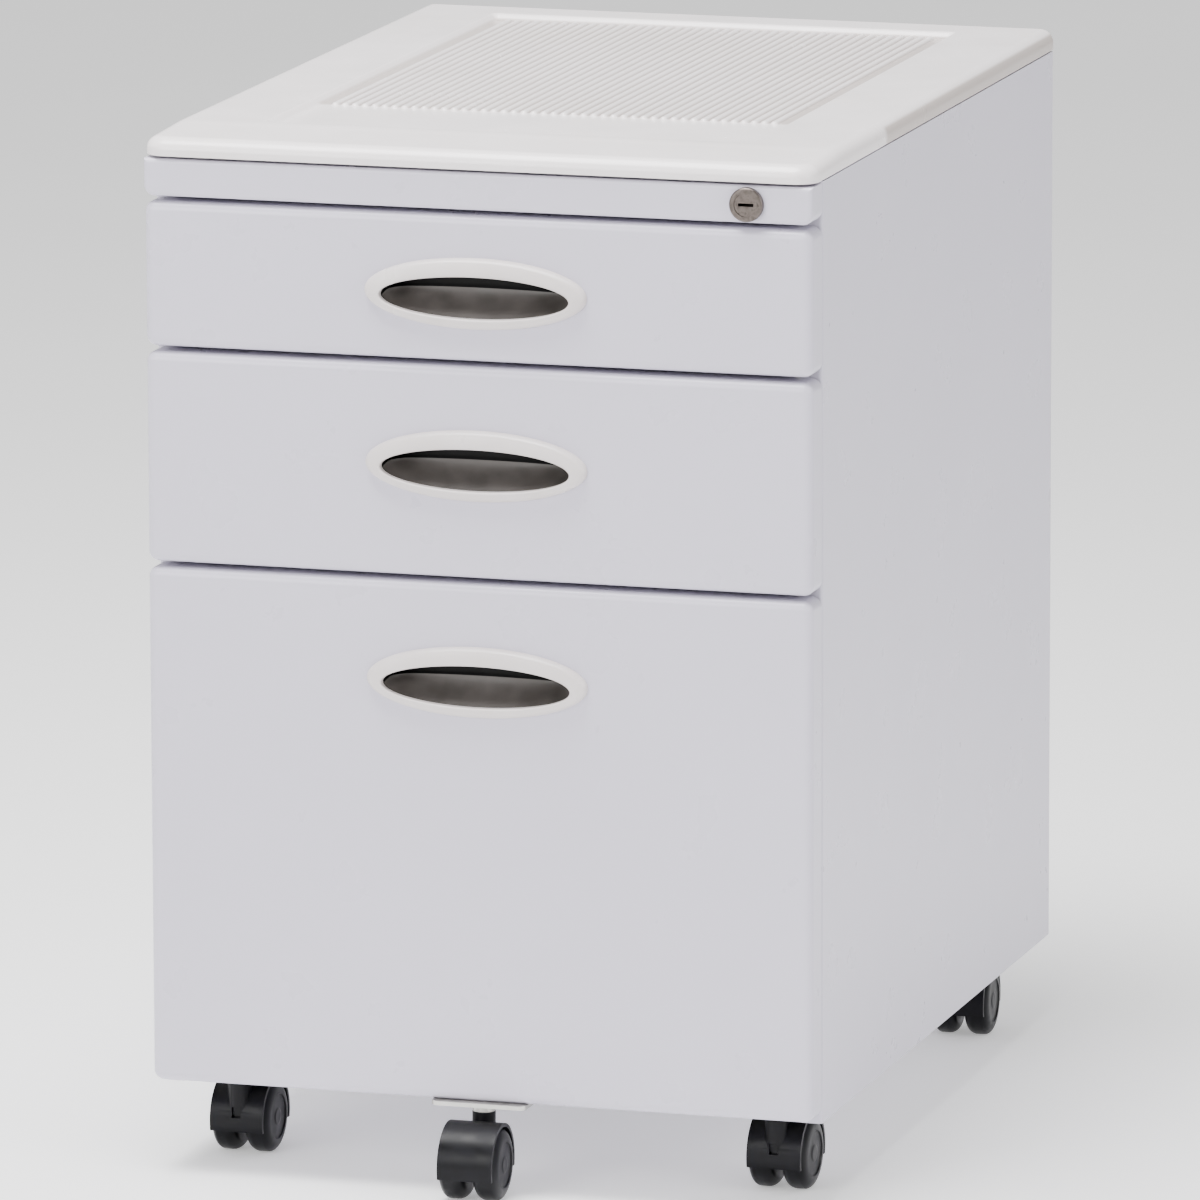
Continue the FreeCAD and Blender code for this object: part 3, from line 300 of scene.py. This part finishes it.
def cover_outline(inset):
    """Points round the cover at a distance in from its edge, with extra points along the sides."""
    radii = [max(radius - inset, 0.4 * MM) for radius in COVER_CORNERS]
    corner_low = (cover_low.x + inset, cover_low.y + inset)
    corner_high = (cover_high.x - inset, cover_high.y - inset)
    corners = rounded_rectangle(corner_low, corner_high, radii)
    per_corner = len(corners) // 4
    points = []
    for side, extra in enumerate((70, 30, 70, 30)):
        points += corners[side * per_corner:(side + 1) * per_corner]
        begin = Vector(points[-1])
        finish = Vector(corners[(side + 1) * per_corner % len(corners)])
        points += [tuple(begin.lerp(finish, i / extra)) for i in range(1, extra)]
    return points


def spread(first, last, step):
    """Even places from first up to, but not including, last, about a step apart."""
    count = max(1, round((last - first) / step))
    return [first + (last - first) * i / count for i in range(count)]


lip = cover_low.z + 1.1 * MM
edge_stack = [(COVER_WALL, lip), (0.9 * MM, lip), (0.25 * MM, lip + 0.2 * MM), (0, lip + 0.8 * MM)]
edge_stack += [(0, cover_high.z - ROLL - 0.4 * MM)]
for step in range(11):
    angle = math.pi / 2 * step / 10
    edge_stack.append((ROLL * (1 - math.cos(angle)), cover_high.z - ROLL * (1 - math.sin(angle))))
edge_stack.append((ROLL + 1.2 * MM, cover_high.z))
bm = bmesh.new()
loops = []
for inset, z in edge_stack:
    share = smooth_rise((z - lip) / (cover_high.z - lip))
    loops.append(ring_of(bm, [(x, y, z - front_fall(y) * share) for x, y in cover_outline(inset)]))
skin(bm, loops)
under = ring_of(bm, [(x, y, cover_high.z - UNDERSIDE_DEPTH) for x, y in cover_outline(COVER_WALL)])
skin(bm, [loops[0], under])
fill_flat(bm, under)
GRID_INSET = 13 * MM
grid_front = cover_low.y + GRID_INSET
grid_rear = cover_high.y - GRID_INSET
rib_half = RIB_COUNT / 2 * RIB_PITCH
columns = spread(cover_low.x + GRID_INSET, -RECESS_HALF, 8 * MM)
columns += spread(-RECESS_HALF, -rib_half, 0.8 * MM)
columns += spread(-rib_half, rib_half, 0.75 * MM)
columns += spread(rib_half, RECESS_HALF, 0.8 * MM)
columns += spread(RECESS_HALF, cover_high.x - GRID_INSET, 8 * MM) + [cover_high.x - GRID_INSET]
border_rear = face_y + FRONT_BORDER
rows = spread(grid_front, border_rear - FALL_SOFTNESS, 6 * MM)
rows += spread(border_rear - FALL_SOFTNESS, border_rear + RECESS_SLOPE, 1.4 * MM)
rows += spread(border_rear + RECESS_SLOPE, RIB_START - 1 * MM, 10 * MM)
rows += spread(RIB_START - 1 * MM, RIB_START + 4 * MM, 0.4 * MM)
rows += spread(RIB_START + 4 * MM, RIB_REAR - 4 * MM, 20 * MM)
rows += spread(RIB_REAR - 4 * MM, RIB_REAR + 1 * MM, 0.6 * MM)
rows += spread(RIB_REAR + 1 * MM, RECESS_REAR, 0.9 * MM)
rows += spread(RECESS_REAR, grid_rear, 5 * MM) + [grid_rear]
field = [ring_of(bm, [(x, y, cover_surface(x, y)) for x in columns]) for y in rows]
for front_row, rear_row in zip(field, field[1:]):
    for i in range(len(columns) - 1):
        bm.faces.new((front_row[i], front_row[i + 1], rear_row[i + 1], rear_row[i]))
border = field[0] + [row[-1] for row in field[1:-1]]
border += field[-1][::-1] + [row[0] for row in field[-2:0:-1]]
fill_flat(bm, loops[-1], border)

# ASA resin from a finely spark-eroded mould: a semi-gloss skin, with dust in the grooves between the
# ribs. A spark-eroded grain is well under half a millimetre; it is drawn at 0.9 mm so that it shows.
cover_resin, tree, shader, place = new_material("moulded_asa_resin")
cloud = add_node(tree, "TexNoise", {"Vector": place}, {"Scale": per_metre(120), "Detail": 4})
tint = add_node(tree, "ValToRGB", {"Fac": cloud.outputs["Fac"]},
                stops=((0.3, "EEE8E9"), (0.55, "ECE6E6"), (0.75, "E8E2E0")))
spot = add_node(tree, "SeparateXYZ", {"Vector": place})
groove = add_node(tree, "MapRange", {"Value": spot.outputs["Z"]},
                  {"From Min": cover_high.z - 3.6 * MM, "From Max": cover_high.z - 2.1 * MM,
                   "To Min": 0.75, "To Max": 0})
behind = add_node(tree, "MapRange", {"Value": spot.outputs["Y"]},
                  {"From Min": RIB_START, "From Max": RIB_START + 6 * MM})
groove = add_node(tree, "Math", {0: groove.outputs["Result"], 1: behind.outputs["Result"]},
                  operation="MULTIPLY")
dust = add_node(tree, "Mix", {"Factor": groove.outputs["Value"], "A": tint.outputs["Color"]},
                data_type="RGBA")
dust.inputs["B"].default_value = colour("A99C94")
tree.links.new(dust.outputs["Result"], shader.inputs["Base Color"])
grain = add_node(tree, "TexNoise", {"Vector": place}, {"Scale": per_metre(0.9), "Detail": 3})
relief = add_node(tree, "Bump", {"Height": grain.outputs["Fac"]}, {"Strength": 0.12, "Distance": 0.1 * MM})
tree.links.new(relief.outputs["Normal"], shader.inputs["Normal"])
rub = add_node(tree, "TexNoise", {"Vector": place}, {"Scale": per_metre(45), "Detail": 4})
gloss = add_node(tree, "MapRange", {"Value": rub.outputs["Fac"]},
                 {"From Min": 0.3, "From Max": 0.7, "To Min": 0.2, "To Max": 0.28})
tree.links.new(gloss.outputs["Result"], shader.inputs["Roughness"])
shader.inputs["IOR"].default_value = 1.52
cover = make_piece("moulded_cover", bm, cover_resin, "cabinet", "top_cover", smooth_under=50)

# ---- Handles ----
# Each handle is an oval bezel of light grey ABS clipped through the front, with a dark finger cup
# behind it. The bezel is rolled over at its outer edge; the cup's floor slopes up to a ridge. The
# moulded grain of the bezel, the cup and the casters is drawn coarser than real, at 0.7 or 0.8 mm.
bezel_abs, tree, shader, place = new_material("moulded_abs_bezel")
cloud = add_node(tree, "TexNoise", {"Vector": place}, {"Scale": per_metre(30), "Detail": 4})
tint = add_node(tree, "ValToRGB", {"Fac": cloud.outputs["Fac"]},
                stops=((0.3, "D6CFCE"), (0.7, "CFC7C5")))
tree.links.new(tint.outputs["Color"], shader.inputs["Base Color"])
grain = add_node(tree, "TexNoise", {"Vector": place}, {"Scale": per_metre(0.8), "Detail": 2})
relief = add_node(tree, "Bump", {"Height": grain.outputs["Fac"]}, {"Strength": 0.08, "Distance": 0.1 * MM})
tree.links.new(relief.outputs["Normal"], shader.inputs["Normal"])
gloss = add_node(tree, "MapRange", {"Value": cloud.outputs["Fac"]},
                 {"From Min": 0.3, "From Max": 0.7, "To Min": 0.26, "To Max": 0.36})
tree.links.new(gloss.outputs["Result"], shader.inputs["Roughness"])
shader.inputs["IOR"].default_value = 1.53

# The cup's sloping floor is black-grey ABS, drawn matt and a little dusty.
cup_abs, tree, shader, place = new_material("moulded_abs_cup")
cloud = add_node(tree, "TexNoise", {"Vector": place}, {"Scale": per_metre(14), "Detail": 5})
tint = add_node(tree, "ValToRGB", {"Fac": cloud.outputs["Fac"]},
                stops=((0.3, "46423F"), (0.7, "55504D")))
tree.links.new(tint.outputs["Color"], shader.inputs["Base Color"])
grain = add_node(tree, "TexNoise", {"Vector": place}, {"Scale": per_metre(0.7), "Detail": 2})
relief = add_node(tree, "Bump", {"Height": grain.outputs["Fac"]}, {"Strength": 0.2, "Distance": 0.1 * MM})
tree.links.new(relief.outputs["Normal"], shader.inputs["Normal"])
gloss = add_node(tree, "MapRange", {"Value": cloud.outputs["Fac"]},
                 {"From Min": 0.3, "From Max": 0.7, "To Min": 0.42, "To Max": 0.58})
tree.links.new(gloss.outputs["Result"], shader.inputs["Roughness"])
shader.inputs["IOR"].default_value = 1.53

# The cup's walls and back are drawn in a near-black copy of the same resin: painted shade, so that
# the deep upper part of the cup stays black in even light.
painted_shade_abs, tree, shader, place = new_material("painted_shade_abs")
cloud = add_node(tree, "TexNoise", {"Vector": place}, {"Scale": per_metre(14), "Detail": 4})
tint = add_node(tree, "ValToRGB", {"Fac": cloud.outputs["Fac"]}, stops=((0.3, "0B0A0A"), (0.7, "121111")))
tree.links.new(tint.outputs["Color"], shader.inputs["Base Color"])
grain = add_node(tree, "TexNoise", {"Vector": place}, {"Scale": per_metre(0.7), "Detail": 2})
relief = add_node(tree, "Bump", {"Height": grain.outputs["Fac"]}, {"Strength": 0.2, "Distance": 0.1 * MM})
tree.links.new(relief.outputs["Normal"], shader.inputs["Normal"])
shader.inputs["Roughness"].default_value = 0.6
shader.inputs["Specular IOR Level"].default_value = 0.2

AROUND = 160
CUP_WALL = 1.5 * MM
BEZEL_PROUD = 5.5 * MM
BEZEL_ROLL = 4.3 * MM
BEZEL_LIP = 1.3 * MM
RIDGE_ABOVE_MIDDLE = 3.4 * MM
RIDGE_BEFORE_BACK = 3.5 * MM


def oval_of(node):
    """Centre, half width, half height and rear face of an oval CAD piece."""
    low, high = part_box(node)
    return (low + high) / 2, (high.x - low.x) / 2, (high.z - low.z) / 2, high.y


def bezel_section(width):
    """Distance in from the outer edge and height above the face, across a bezel that wide."""
    roll = min(BEZEL_ROLL, width * 0.55)
    section = [(0, -0.3 * MM)]
    for step in range(9):
        angle = math.pi / 2 * step / 8
        section.append((roll * (1 - math.cos(angle)), (BEZEL_PROUD - 0.5 * MM) * math.sin(angle)))
    section.append(((roll + width - BEZEL_LIP) / 2, BEZEL_PROUD - 0.1 * MM))
    for step in range(6):
        angle = math.pi / 2 * step / 5
        inward, downward = 1 - math.sin(angle), 1 - math.cos(angle)
        section.append((width - BEZEL_LIP * inward, BEZEL_PROUD - BEZEL_LIP * downward))
    section.append((width, 1 * MM))
    return section


def make_bezel(number):
    """A band swept from the outer oval to the opening, which sits lower and is not concentric."""
    bezel, half_wide, half_high, face = oval_of(f"drawer_{number}_handle_bezel")
    cup, cup_wide, cup_high, _ = oval_of(f"drawer_{number}_handle_cup")
    outer = ellipse((bezel.x, bezel.z), half_wide, half_high, AROUND)
    inner = ellipse((cup.x, cup.z), cup_wide - CUP_WALL, cup_high - CUP_WALL, AROUND)
    sections = []
    for out, into in zip(outer, inner):
        out, into = Vector(out), Vector(into)
        inward = (into - out).normalized()
        profile = []
        for distance, proud in bezel_section((into - out).length):
            spot = out + inward * distance
            profile.append((spot.x, face - proud, spot.y))
        sections.append(profile)
    bm = bmesh.new()
    rings = [ring_of(bm, [section[i] for section in sections]) for i in range(len(sections[0]))]
    skin(bm, rings, wrap=True)
    piece = make_piece(f"drawer_{number}_bezel", bm, bezel_abs, f"drawer_{number}",
                       f"drawer_{number}_handle_bezel", smooth_under=60)


def make_cup(number):
    """An open oval tube with a back; inside, a sloping floor rises to a ridge short of the back."""
    cup, half_wide, half_high, end = oval_of(f"drawer_{number}_handle_cup")
    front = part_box(f"drawer_{number}_handle_cup")[0].y
    open_wide, open_high = half_wide - CUP_WALL, half_high - CUP_WALL
    bm = bmesh.new()
    tube = [(half_wide, half_high, front), (half_wide, half_high, end)]
    shell = [ring_of(bm, [(x, y, z) for x, z in ellipse((cup.x, cup.z), wide, high, AROUND)])
             for wide, high, y in tube]
    back = end - CUP_WALL
    inside = [ring_of(bm, [(x, y, z) for x, z in ellipse((cup.x, cup.z), open_wide, open_high, AROUND)])
              for y in (front, (front + back) / 2, back)]
    skin(bm, shell)
    skin(bm, inside)
    skin(bm, [shell[0], inside[0]])
    fill_flat(bm, shell[1])
    fill_flat(bm, inside[-1])
    # The tube, walls and back take the second material, a near-black painted shade for the deep cup.
    for face in bm.faces:
        face.material_index = 1
    ridge_z = cup.z + RIDGE_ABOVE_MIDDLE
    ridge_y = back - RIDGE_BEFORE_BACK
    across = [open_wide * math.sin(math.pi / 2 * (i / 24 - 1)) * 0.999 for i in range(49)]
    lines = []
    for step in range(17):
        rise = step / 16
        line = []
        for x in across:
            reach = math.sqrt(max(0, 1 - (x / open_wide) ** 2))
            bottom = cup.z - open_high * reach
            top = max(bottom, min(ridge_z, cup.z + open_high * reach) - 2.2 * MM * (1 - reach))
            z = bottom + (top - bottom) * rise
            y = front + (ridge_y - front) * (1 - (1 - rise) ** 1.7) * smooth_rise(reach * 1.6)
            line.append((cup.x + x, y, z))
        lines.append([bm.verts.new(point) for point in line])
    drop = [bm.verts.new((v.co.x, min(v.co.y + 1.2 * MM, back), v.co.z - 0.6 * MM)) for v in lines[-1]]
    foot = [bm.verts.new((v.co.x, min(v.co.y + 1.6 * MM, back), v.co.z - 4 * MM)) for v in lines[-1]]
    for first, second in zip(lines + [drop], lines[1:] + [drop, foot]):
        for i in range(len(across) - 1):
            bm.faces.new((first[i], first[i + 1], second[i + 1], second[i]))
    piece = make_piece(f"drawer_{number}_cup", bm, cup_abs, f"drawer_{number}",
                       f"drawer_{number}_handle_cup", smooth_under=50)
    # The second material is the cup's near-black painted shade.
    piece.data.materials.append(painted_shade_abs)


for number in (1, 2, 3):
    make_bezel(number)
    make_cup(number)

# ---- Lock ----
# A cam lock with a turned brass ring and plug, nickel plated: the plating has gone dull and warm.
# The housing and the plug with its keyway are the CAD pieces. The bevelled ring lies just inside the
# housing's rim, so hardly any of it shows.
worn_nickel, tree, shader, place = new_material("worn_nickel_plate")
blotch = add_node(tree, "TexNoise", {"Vector": place}, {"Scale": per_metre(3), "Detail": 5})
tint = add_node(tree, "ValToRGB", {"Fac": blotch.outputs["Fac"]},
                stops=((0.3, "564F4B"), (0.55, "6C645F"), (0.75, "3E3936")))
tree.links.new(tint.outputs["Color"], shader.inputs["Base Color"])
shader.inputs["Metallic"].default_value = 1
scratch = add_node(tree, "TexNoise", {"Vector": place}, {"Scale": per_metre(0.5), "Detail": 4})
relief = add_node(tree, "Bump", {"Height": scratch.outputs["Fac"]}, {"Strength": 0.25, "Distance": 0.05 * MM})
tree.links.new(relief.outputs["Normal"], shader.inputs["Normal"])
gloss = add_node(tree, "MapRange", {"Value": blotch.outputs["Fac"]},
                 {"From Min": 0.3, "From Max": 0.75, "To Min": 0.28, "To Max": 0.46})
tree.links.new(gloss.outputs["Result"], shader.inputs["Roughness"])

# Radius and height above the face, round the ring's section.
ring_section = [(7, -0.2), (9.8, -0.2), (9.8, 1.6), (9.55, 2.3), (8.6, 3.3), (8.3, 3.45)]
ring_section += [(7.5, 3.45), (7.5, 3.0), (7.35, 2.4), (7, -0.2)]
bm = bmesh.new()
rings = []
for radius, proud in ring_section:
    circle = ellipse((lock_axis.x, lock_axis.z), radius * MM, radius * MM)
    rings.append(ring_of(bm, [(x, face_y - proud * MM, z) for x, z in circle]))
skin(bm, rings)
ring = make_piece("lock_ring", bm, worn_nickel, "cabinet", smooth_under=25)
finish_nodes(worn_nickel, "lock_housing", "lock_plug")

# ---- Slides, lock work and other inner steel ----
# Pressed and rolled steel, zinc plated and blue passivated, so it is pale with a faint cloudiness.
# The drawers' trays are coated like the carcass.
zinc_steel, tree, shader, place = new_material("zinc_plated_steel")
cloud = add_node(tree, "TexNoise", {"Vector": place}, {"Scale": per_metre(12), "Detail": 4})
tint = add_node(tree, "ValToRGB", {"Fac": cloud.outputs["Fac"]},
                stops=((0.3, "B9B8B2"), (0.6, "C9C8C3"), (0.8, "AEADA6")))
tree.links.new(tint.outputs["Color"], shader.inputs["Base Color"])
shader.inputs["Metallic"].default_value = 1
rolled = add_node(tree, "TexNoise", {"Vector": place}, {"Scale": per_metre(1.5), "Detail": 3})
relief = add_node(tree, "Bump", {"Height": rolled.outputs["Fac"]}, {"Strength": 0.15, "Distance": 0.05 * MM})
tree.links.new(relief.outputs["Normal"], shader.inputs["Normal"])
gloss = add_node(tree, "MapRange", {"Value": cloud.outputs["Fac"]},
                 {"From Min": 0.3, "From Max": 0.7, "To Min": 0.3, "To Max": 0.44})
tree.links.new(gloss.outputs["Result"], shader.inputs["Roughness"])
zinc_words = ("slide", "cages", "screws", "nut", "cam", "lock_bar", "bracket", "plate", "kingpin", "axle")
for name in frame["nodes"]:
    if any(word in name for word in zinc_words):
        finish_nodes(zinc_steel, name)
for number in (1, 2, 3):
    finish_nodes(coated_steel, f"drawer_{number}_tray")

# ---- Casters ----
# Twin-wheel casters moulded in black glass-filled nylon: one hood over two wheels with rounded
# treads, turning on a pin riveted in a zinc-plated plate. The specular level is set well below the
# usual one, which keeps the moulding near black.
caster_nylon, tree, shader, place = new_material("moulded_black_nylon")
cloud = add_node(tree, "TexNoise", {"Vector": place}, {"Scale": per_metre(9), "Detail": 5})
tint = add_node(tree, "ValToRGB", {"Fac": cloud.outputs["Fac"]},
                stops=((0.3, "060608"), (0.75, "0C0C12")))
tree.links.new(tint.outputs["Color"], shader.inputs["Base Color"])
grain = add_node(tree, "TexNoise", {"Vector": place}, {"Scale": per_metre(0.8), "Detail": 3})
relief = add_node(tree, "Bump", {"Height": grain.outputs["Fac"]}, {"Strength": 0.18, "Distance": 0.1 * MM})
tree.links.new(relief.outputs["Normal"], shader.inputs["Normal"])
gloss = add_node(tree, "MapRange", {"Value": cloud.outputs["Fac"]},
                 {"From Min": 0.3, "From Max": 0.7, "To Min": 0.3, "To Max": 0.45})
tree.links.new(gloss.outputs["Result"], shader.inputs["Roughness"])
shader.inputs["IOR"].default_value = 1.53
shader.inputs["Specular IOR Level"].default_value = 0.16

WHEEL_NEAR = 2.6 * MM
WHEEL_FAR = 17.8 * MM
INNER_ROUNDING = 6 * MM
CAP_ROUNDING = 5 * MM
TREAD_ROUNDING = 7 * MM
WHEEL_SEGMENTS = 72
HOOD_SHORTER = 0.8 * MM
HOOD_END = 12 * MM
HOOD_EDGE = 0.9 * MM
joints = {joint["name"]: joint for joint in frame["record"]["behaviour"]["joints"]}


def make_hood(label):
    """A copy of the CAD hood with its ends drawn in and its sharp edges rounded."""
    node = f"{label}_hood"
    joint = joints[f"{label}_roll"]
    centre = Vector(joint["pos_m"])
    axle = Vector(joint["axis"]).normalized()
    bm = bmesh.new()
    bm.from_mesh(frame["nodes"][node].data)
    bmesh.ops.remove_doubles(bm, verts=bm.verts, dist=0.001 * MM)
    for vertex in bm.verts:
        along = (vertex.co - centre).dot(axle)
        if abs(along) > HOOD_END:
            vertex.co -= axle * math.copysign(HOOD_SHORTER, along)
    bmesh.ops.dissolve_limit(bm, angle_limit=math.radians(1), verts=bm.verts, edges=bm.edges)
    piece = make_piece(f"{label}_moulded_hood", bm, caster_nylon, label, node, smooth_under=35)
    bevel = piece.modifiers.new("rounded_edges", "BEVEL")
    bevel.width = HOOD_EDGE
    bevel.segments = 3
    bevel.limit_method = "ANGLE"
    bevel.angle_limit = math.radians(35)


def wheel_section(radius):
    """Distance along the axle and radius, from the hub beside the web over the tread to the cap."""
    section = [(WHEEL_NEAR, 4 * MM), (WHEEL_NEAR, radius - INNER_ROUNDING)]
    for step in range(1, 10):
        angle = math.pi / 2 * step / 9
        inward, upward = 1 - math.cos(angle), 1 - math.sin(angle)
        section.append((WHEEL_NEAR + INNER_ROUNDING * inward, radius - INNER_ROUNDING * upward))
    for step in range(1, 10):
        angle = math.pi / 2 * step / 9
        inward, downward = 1 - math.sin(angle), 1 - math.cos(angle)
        section.append((WHEEL_FAR - CAP_ROUNDING * inward, radius - TREAD_ROUNDING * downward))
    cap = [(0, 13.4), (-0.7, 12.8), (-0.7, 5.6), (-0.3, 5.0), (-0.2, 3.5)]
    section += [(WHEEL_FAR + depth * MM, reach * MM) for depth, reach in cap]
    return section


def make_wheels(label):
    """Both wheels of a caster, turned about its axle."""
    joint = joints[f"{label}_roll"]
    centre = Vector(joint["pos_m"])
    axle = Vector(joint["axis"]).normalized()
    upward = Vector((0, 0, 1))
    across = axle.cross(upward)
    turns = [2 * math.pi * i / WHEEL_SEGMENTS for i in range(WHEEL_SEGMENTS)]
    spokes = [across * math.cos(turn) + upward * math.sin(turn) for turn in turns]
    bm = bmesh.new()
    for side in (-1, 1):
        rings = []
        for along, radius in wheel_section(centre.z):
            hub = centre + axle * side * along
            rings.append(ring_of(bm, [hub + spoke * radius for spoke in spokes]))
        skin(bm, rings)
        bm.faces.new(rings[0])
        bm.faces.new(rings[-1])
    body = f"{label}_wheels"
    piece = make_piece(f"{label}_wheel_pair", bm, caster_nylon, body, body, smooth_under=35)


for corner in ("front_left", "front_right", "rear_left", "rear_right", "fifth"):
    make_hood(f"caster_{corner}")
    make_wheels(f"caster_{corner}")

# ---- Floor, light and camera ----
# A white paper floor that glows a little, so that it stays pale under a dim, even world. Three
# soft boxes stand above, in front and to the right, and the camera looks from the front right.
FLOOR_HALF = 6
floor_mesh = bpy.data.meshes.new("studio_floor")
floor_corners = [(x * FLOOR_HALF, y * FLOOR_HALF, 0) for x, y in ((-1, -1), (1, -1), (1, 1), (-1, 1))]
floor_mesh.from_pydata(floor_corners, [], [(0, 1, 2, 3)])
floor = bpy.data.objects.new("studio_floor", floor_mesh)
bpy.context.scene.collection.objects.link(floor)
paper, tree, shader, place = new_material("white_studio_paper")
shader.inputs["Emission Color"].default_value = colour("FFFFFF")
shader.inputs["Emission Strength"].default_value = 0.4
shader.inputs["Roughness"].default_value = 0.9
tooth = add_node(tree, "TexNoise", {"Vector": place}, {"Scale": per_metre(400), "Detail": 2})
tint = add_node(tree, "ValToRGB", {"Fac": tooth.outputs["Fac"]}, stops=((0.3, "F8F8F8"), (0.7, "F5F5F5")))
tree.links.new(tint.outputs["Color"], shader.inputs["Base Color"])
floor_mesh.materials.append(paper)

world = bpy.data.worlds.new("studio_world")
bpy.context.scene.world = world
world.use_nodes = True
background = world.node_tree.nodes["Background"]
background.inputs["Color"].default_value = (1, 1, 1, 1)
background.inputs["Strength"].default_value = 0.62


def soft_box(name, place, target, size, watts):
    """A square area light turned to a point."""
    light = bpy.data.lights.new(name, "AREA")
    light.shape = "RECTANGLE"
    light.size, light.size_y = size, size
    light.energy = watts
    lamp = bpy.data.objects.new(name, light)
    bpy.context.scene.collection.objects.link(lamp)
    lamp.location = place
    lamp.rotation_euler = (Vector(target) - Vector(place)).to_track_quat("-Z", "Y").to_euler()


soft_box("top_light", (-0.3, -0.5, 2.5), (0, 0, 0.4), 1.3, 125)
soft_box("front_light", (-1.2, -3.0, 1.3), (0, 0, 0.3), 1.4, 56)
soft_box("side_light", (3.0, -1.2, 1.3), (0, 0, 0.3), 1.4, 48)

azimuth, elevation, roll = math.radians(16.753), math.radians(11.151), math.radians(-0.153)
aim = Vector((-9.0, 19.784, 295.65)) * MM
distance = 7.134
level = math.cos(elevation)
away = Vector((math.sin(azimuth) * level, -math.cos(azimuth) * level, math.sin(elevation)))
camera_data = bpy.data.cameras.new("studio_camera")
camera_data.sensor_width = 36
camera_data.lens = 363
camera = bpy.data.objects.new("studio_camera", camera_data)
bpy.context.scene.collection.objects.link(camera)
camera.location = aim + away * distance
facing = away.to_track_quat("Z", "Y").to_matrix() @ Matrix.Rotation(roll, 3, "Z")
camera.rotation_euler = facing.to_euler()
camera_data.clip_end = 50
bpy.context.scene.camera = camera
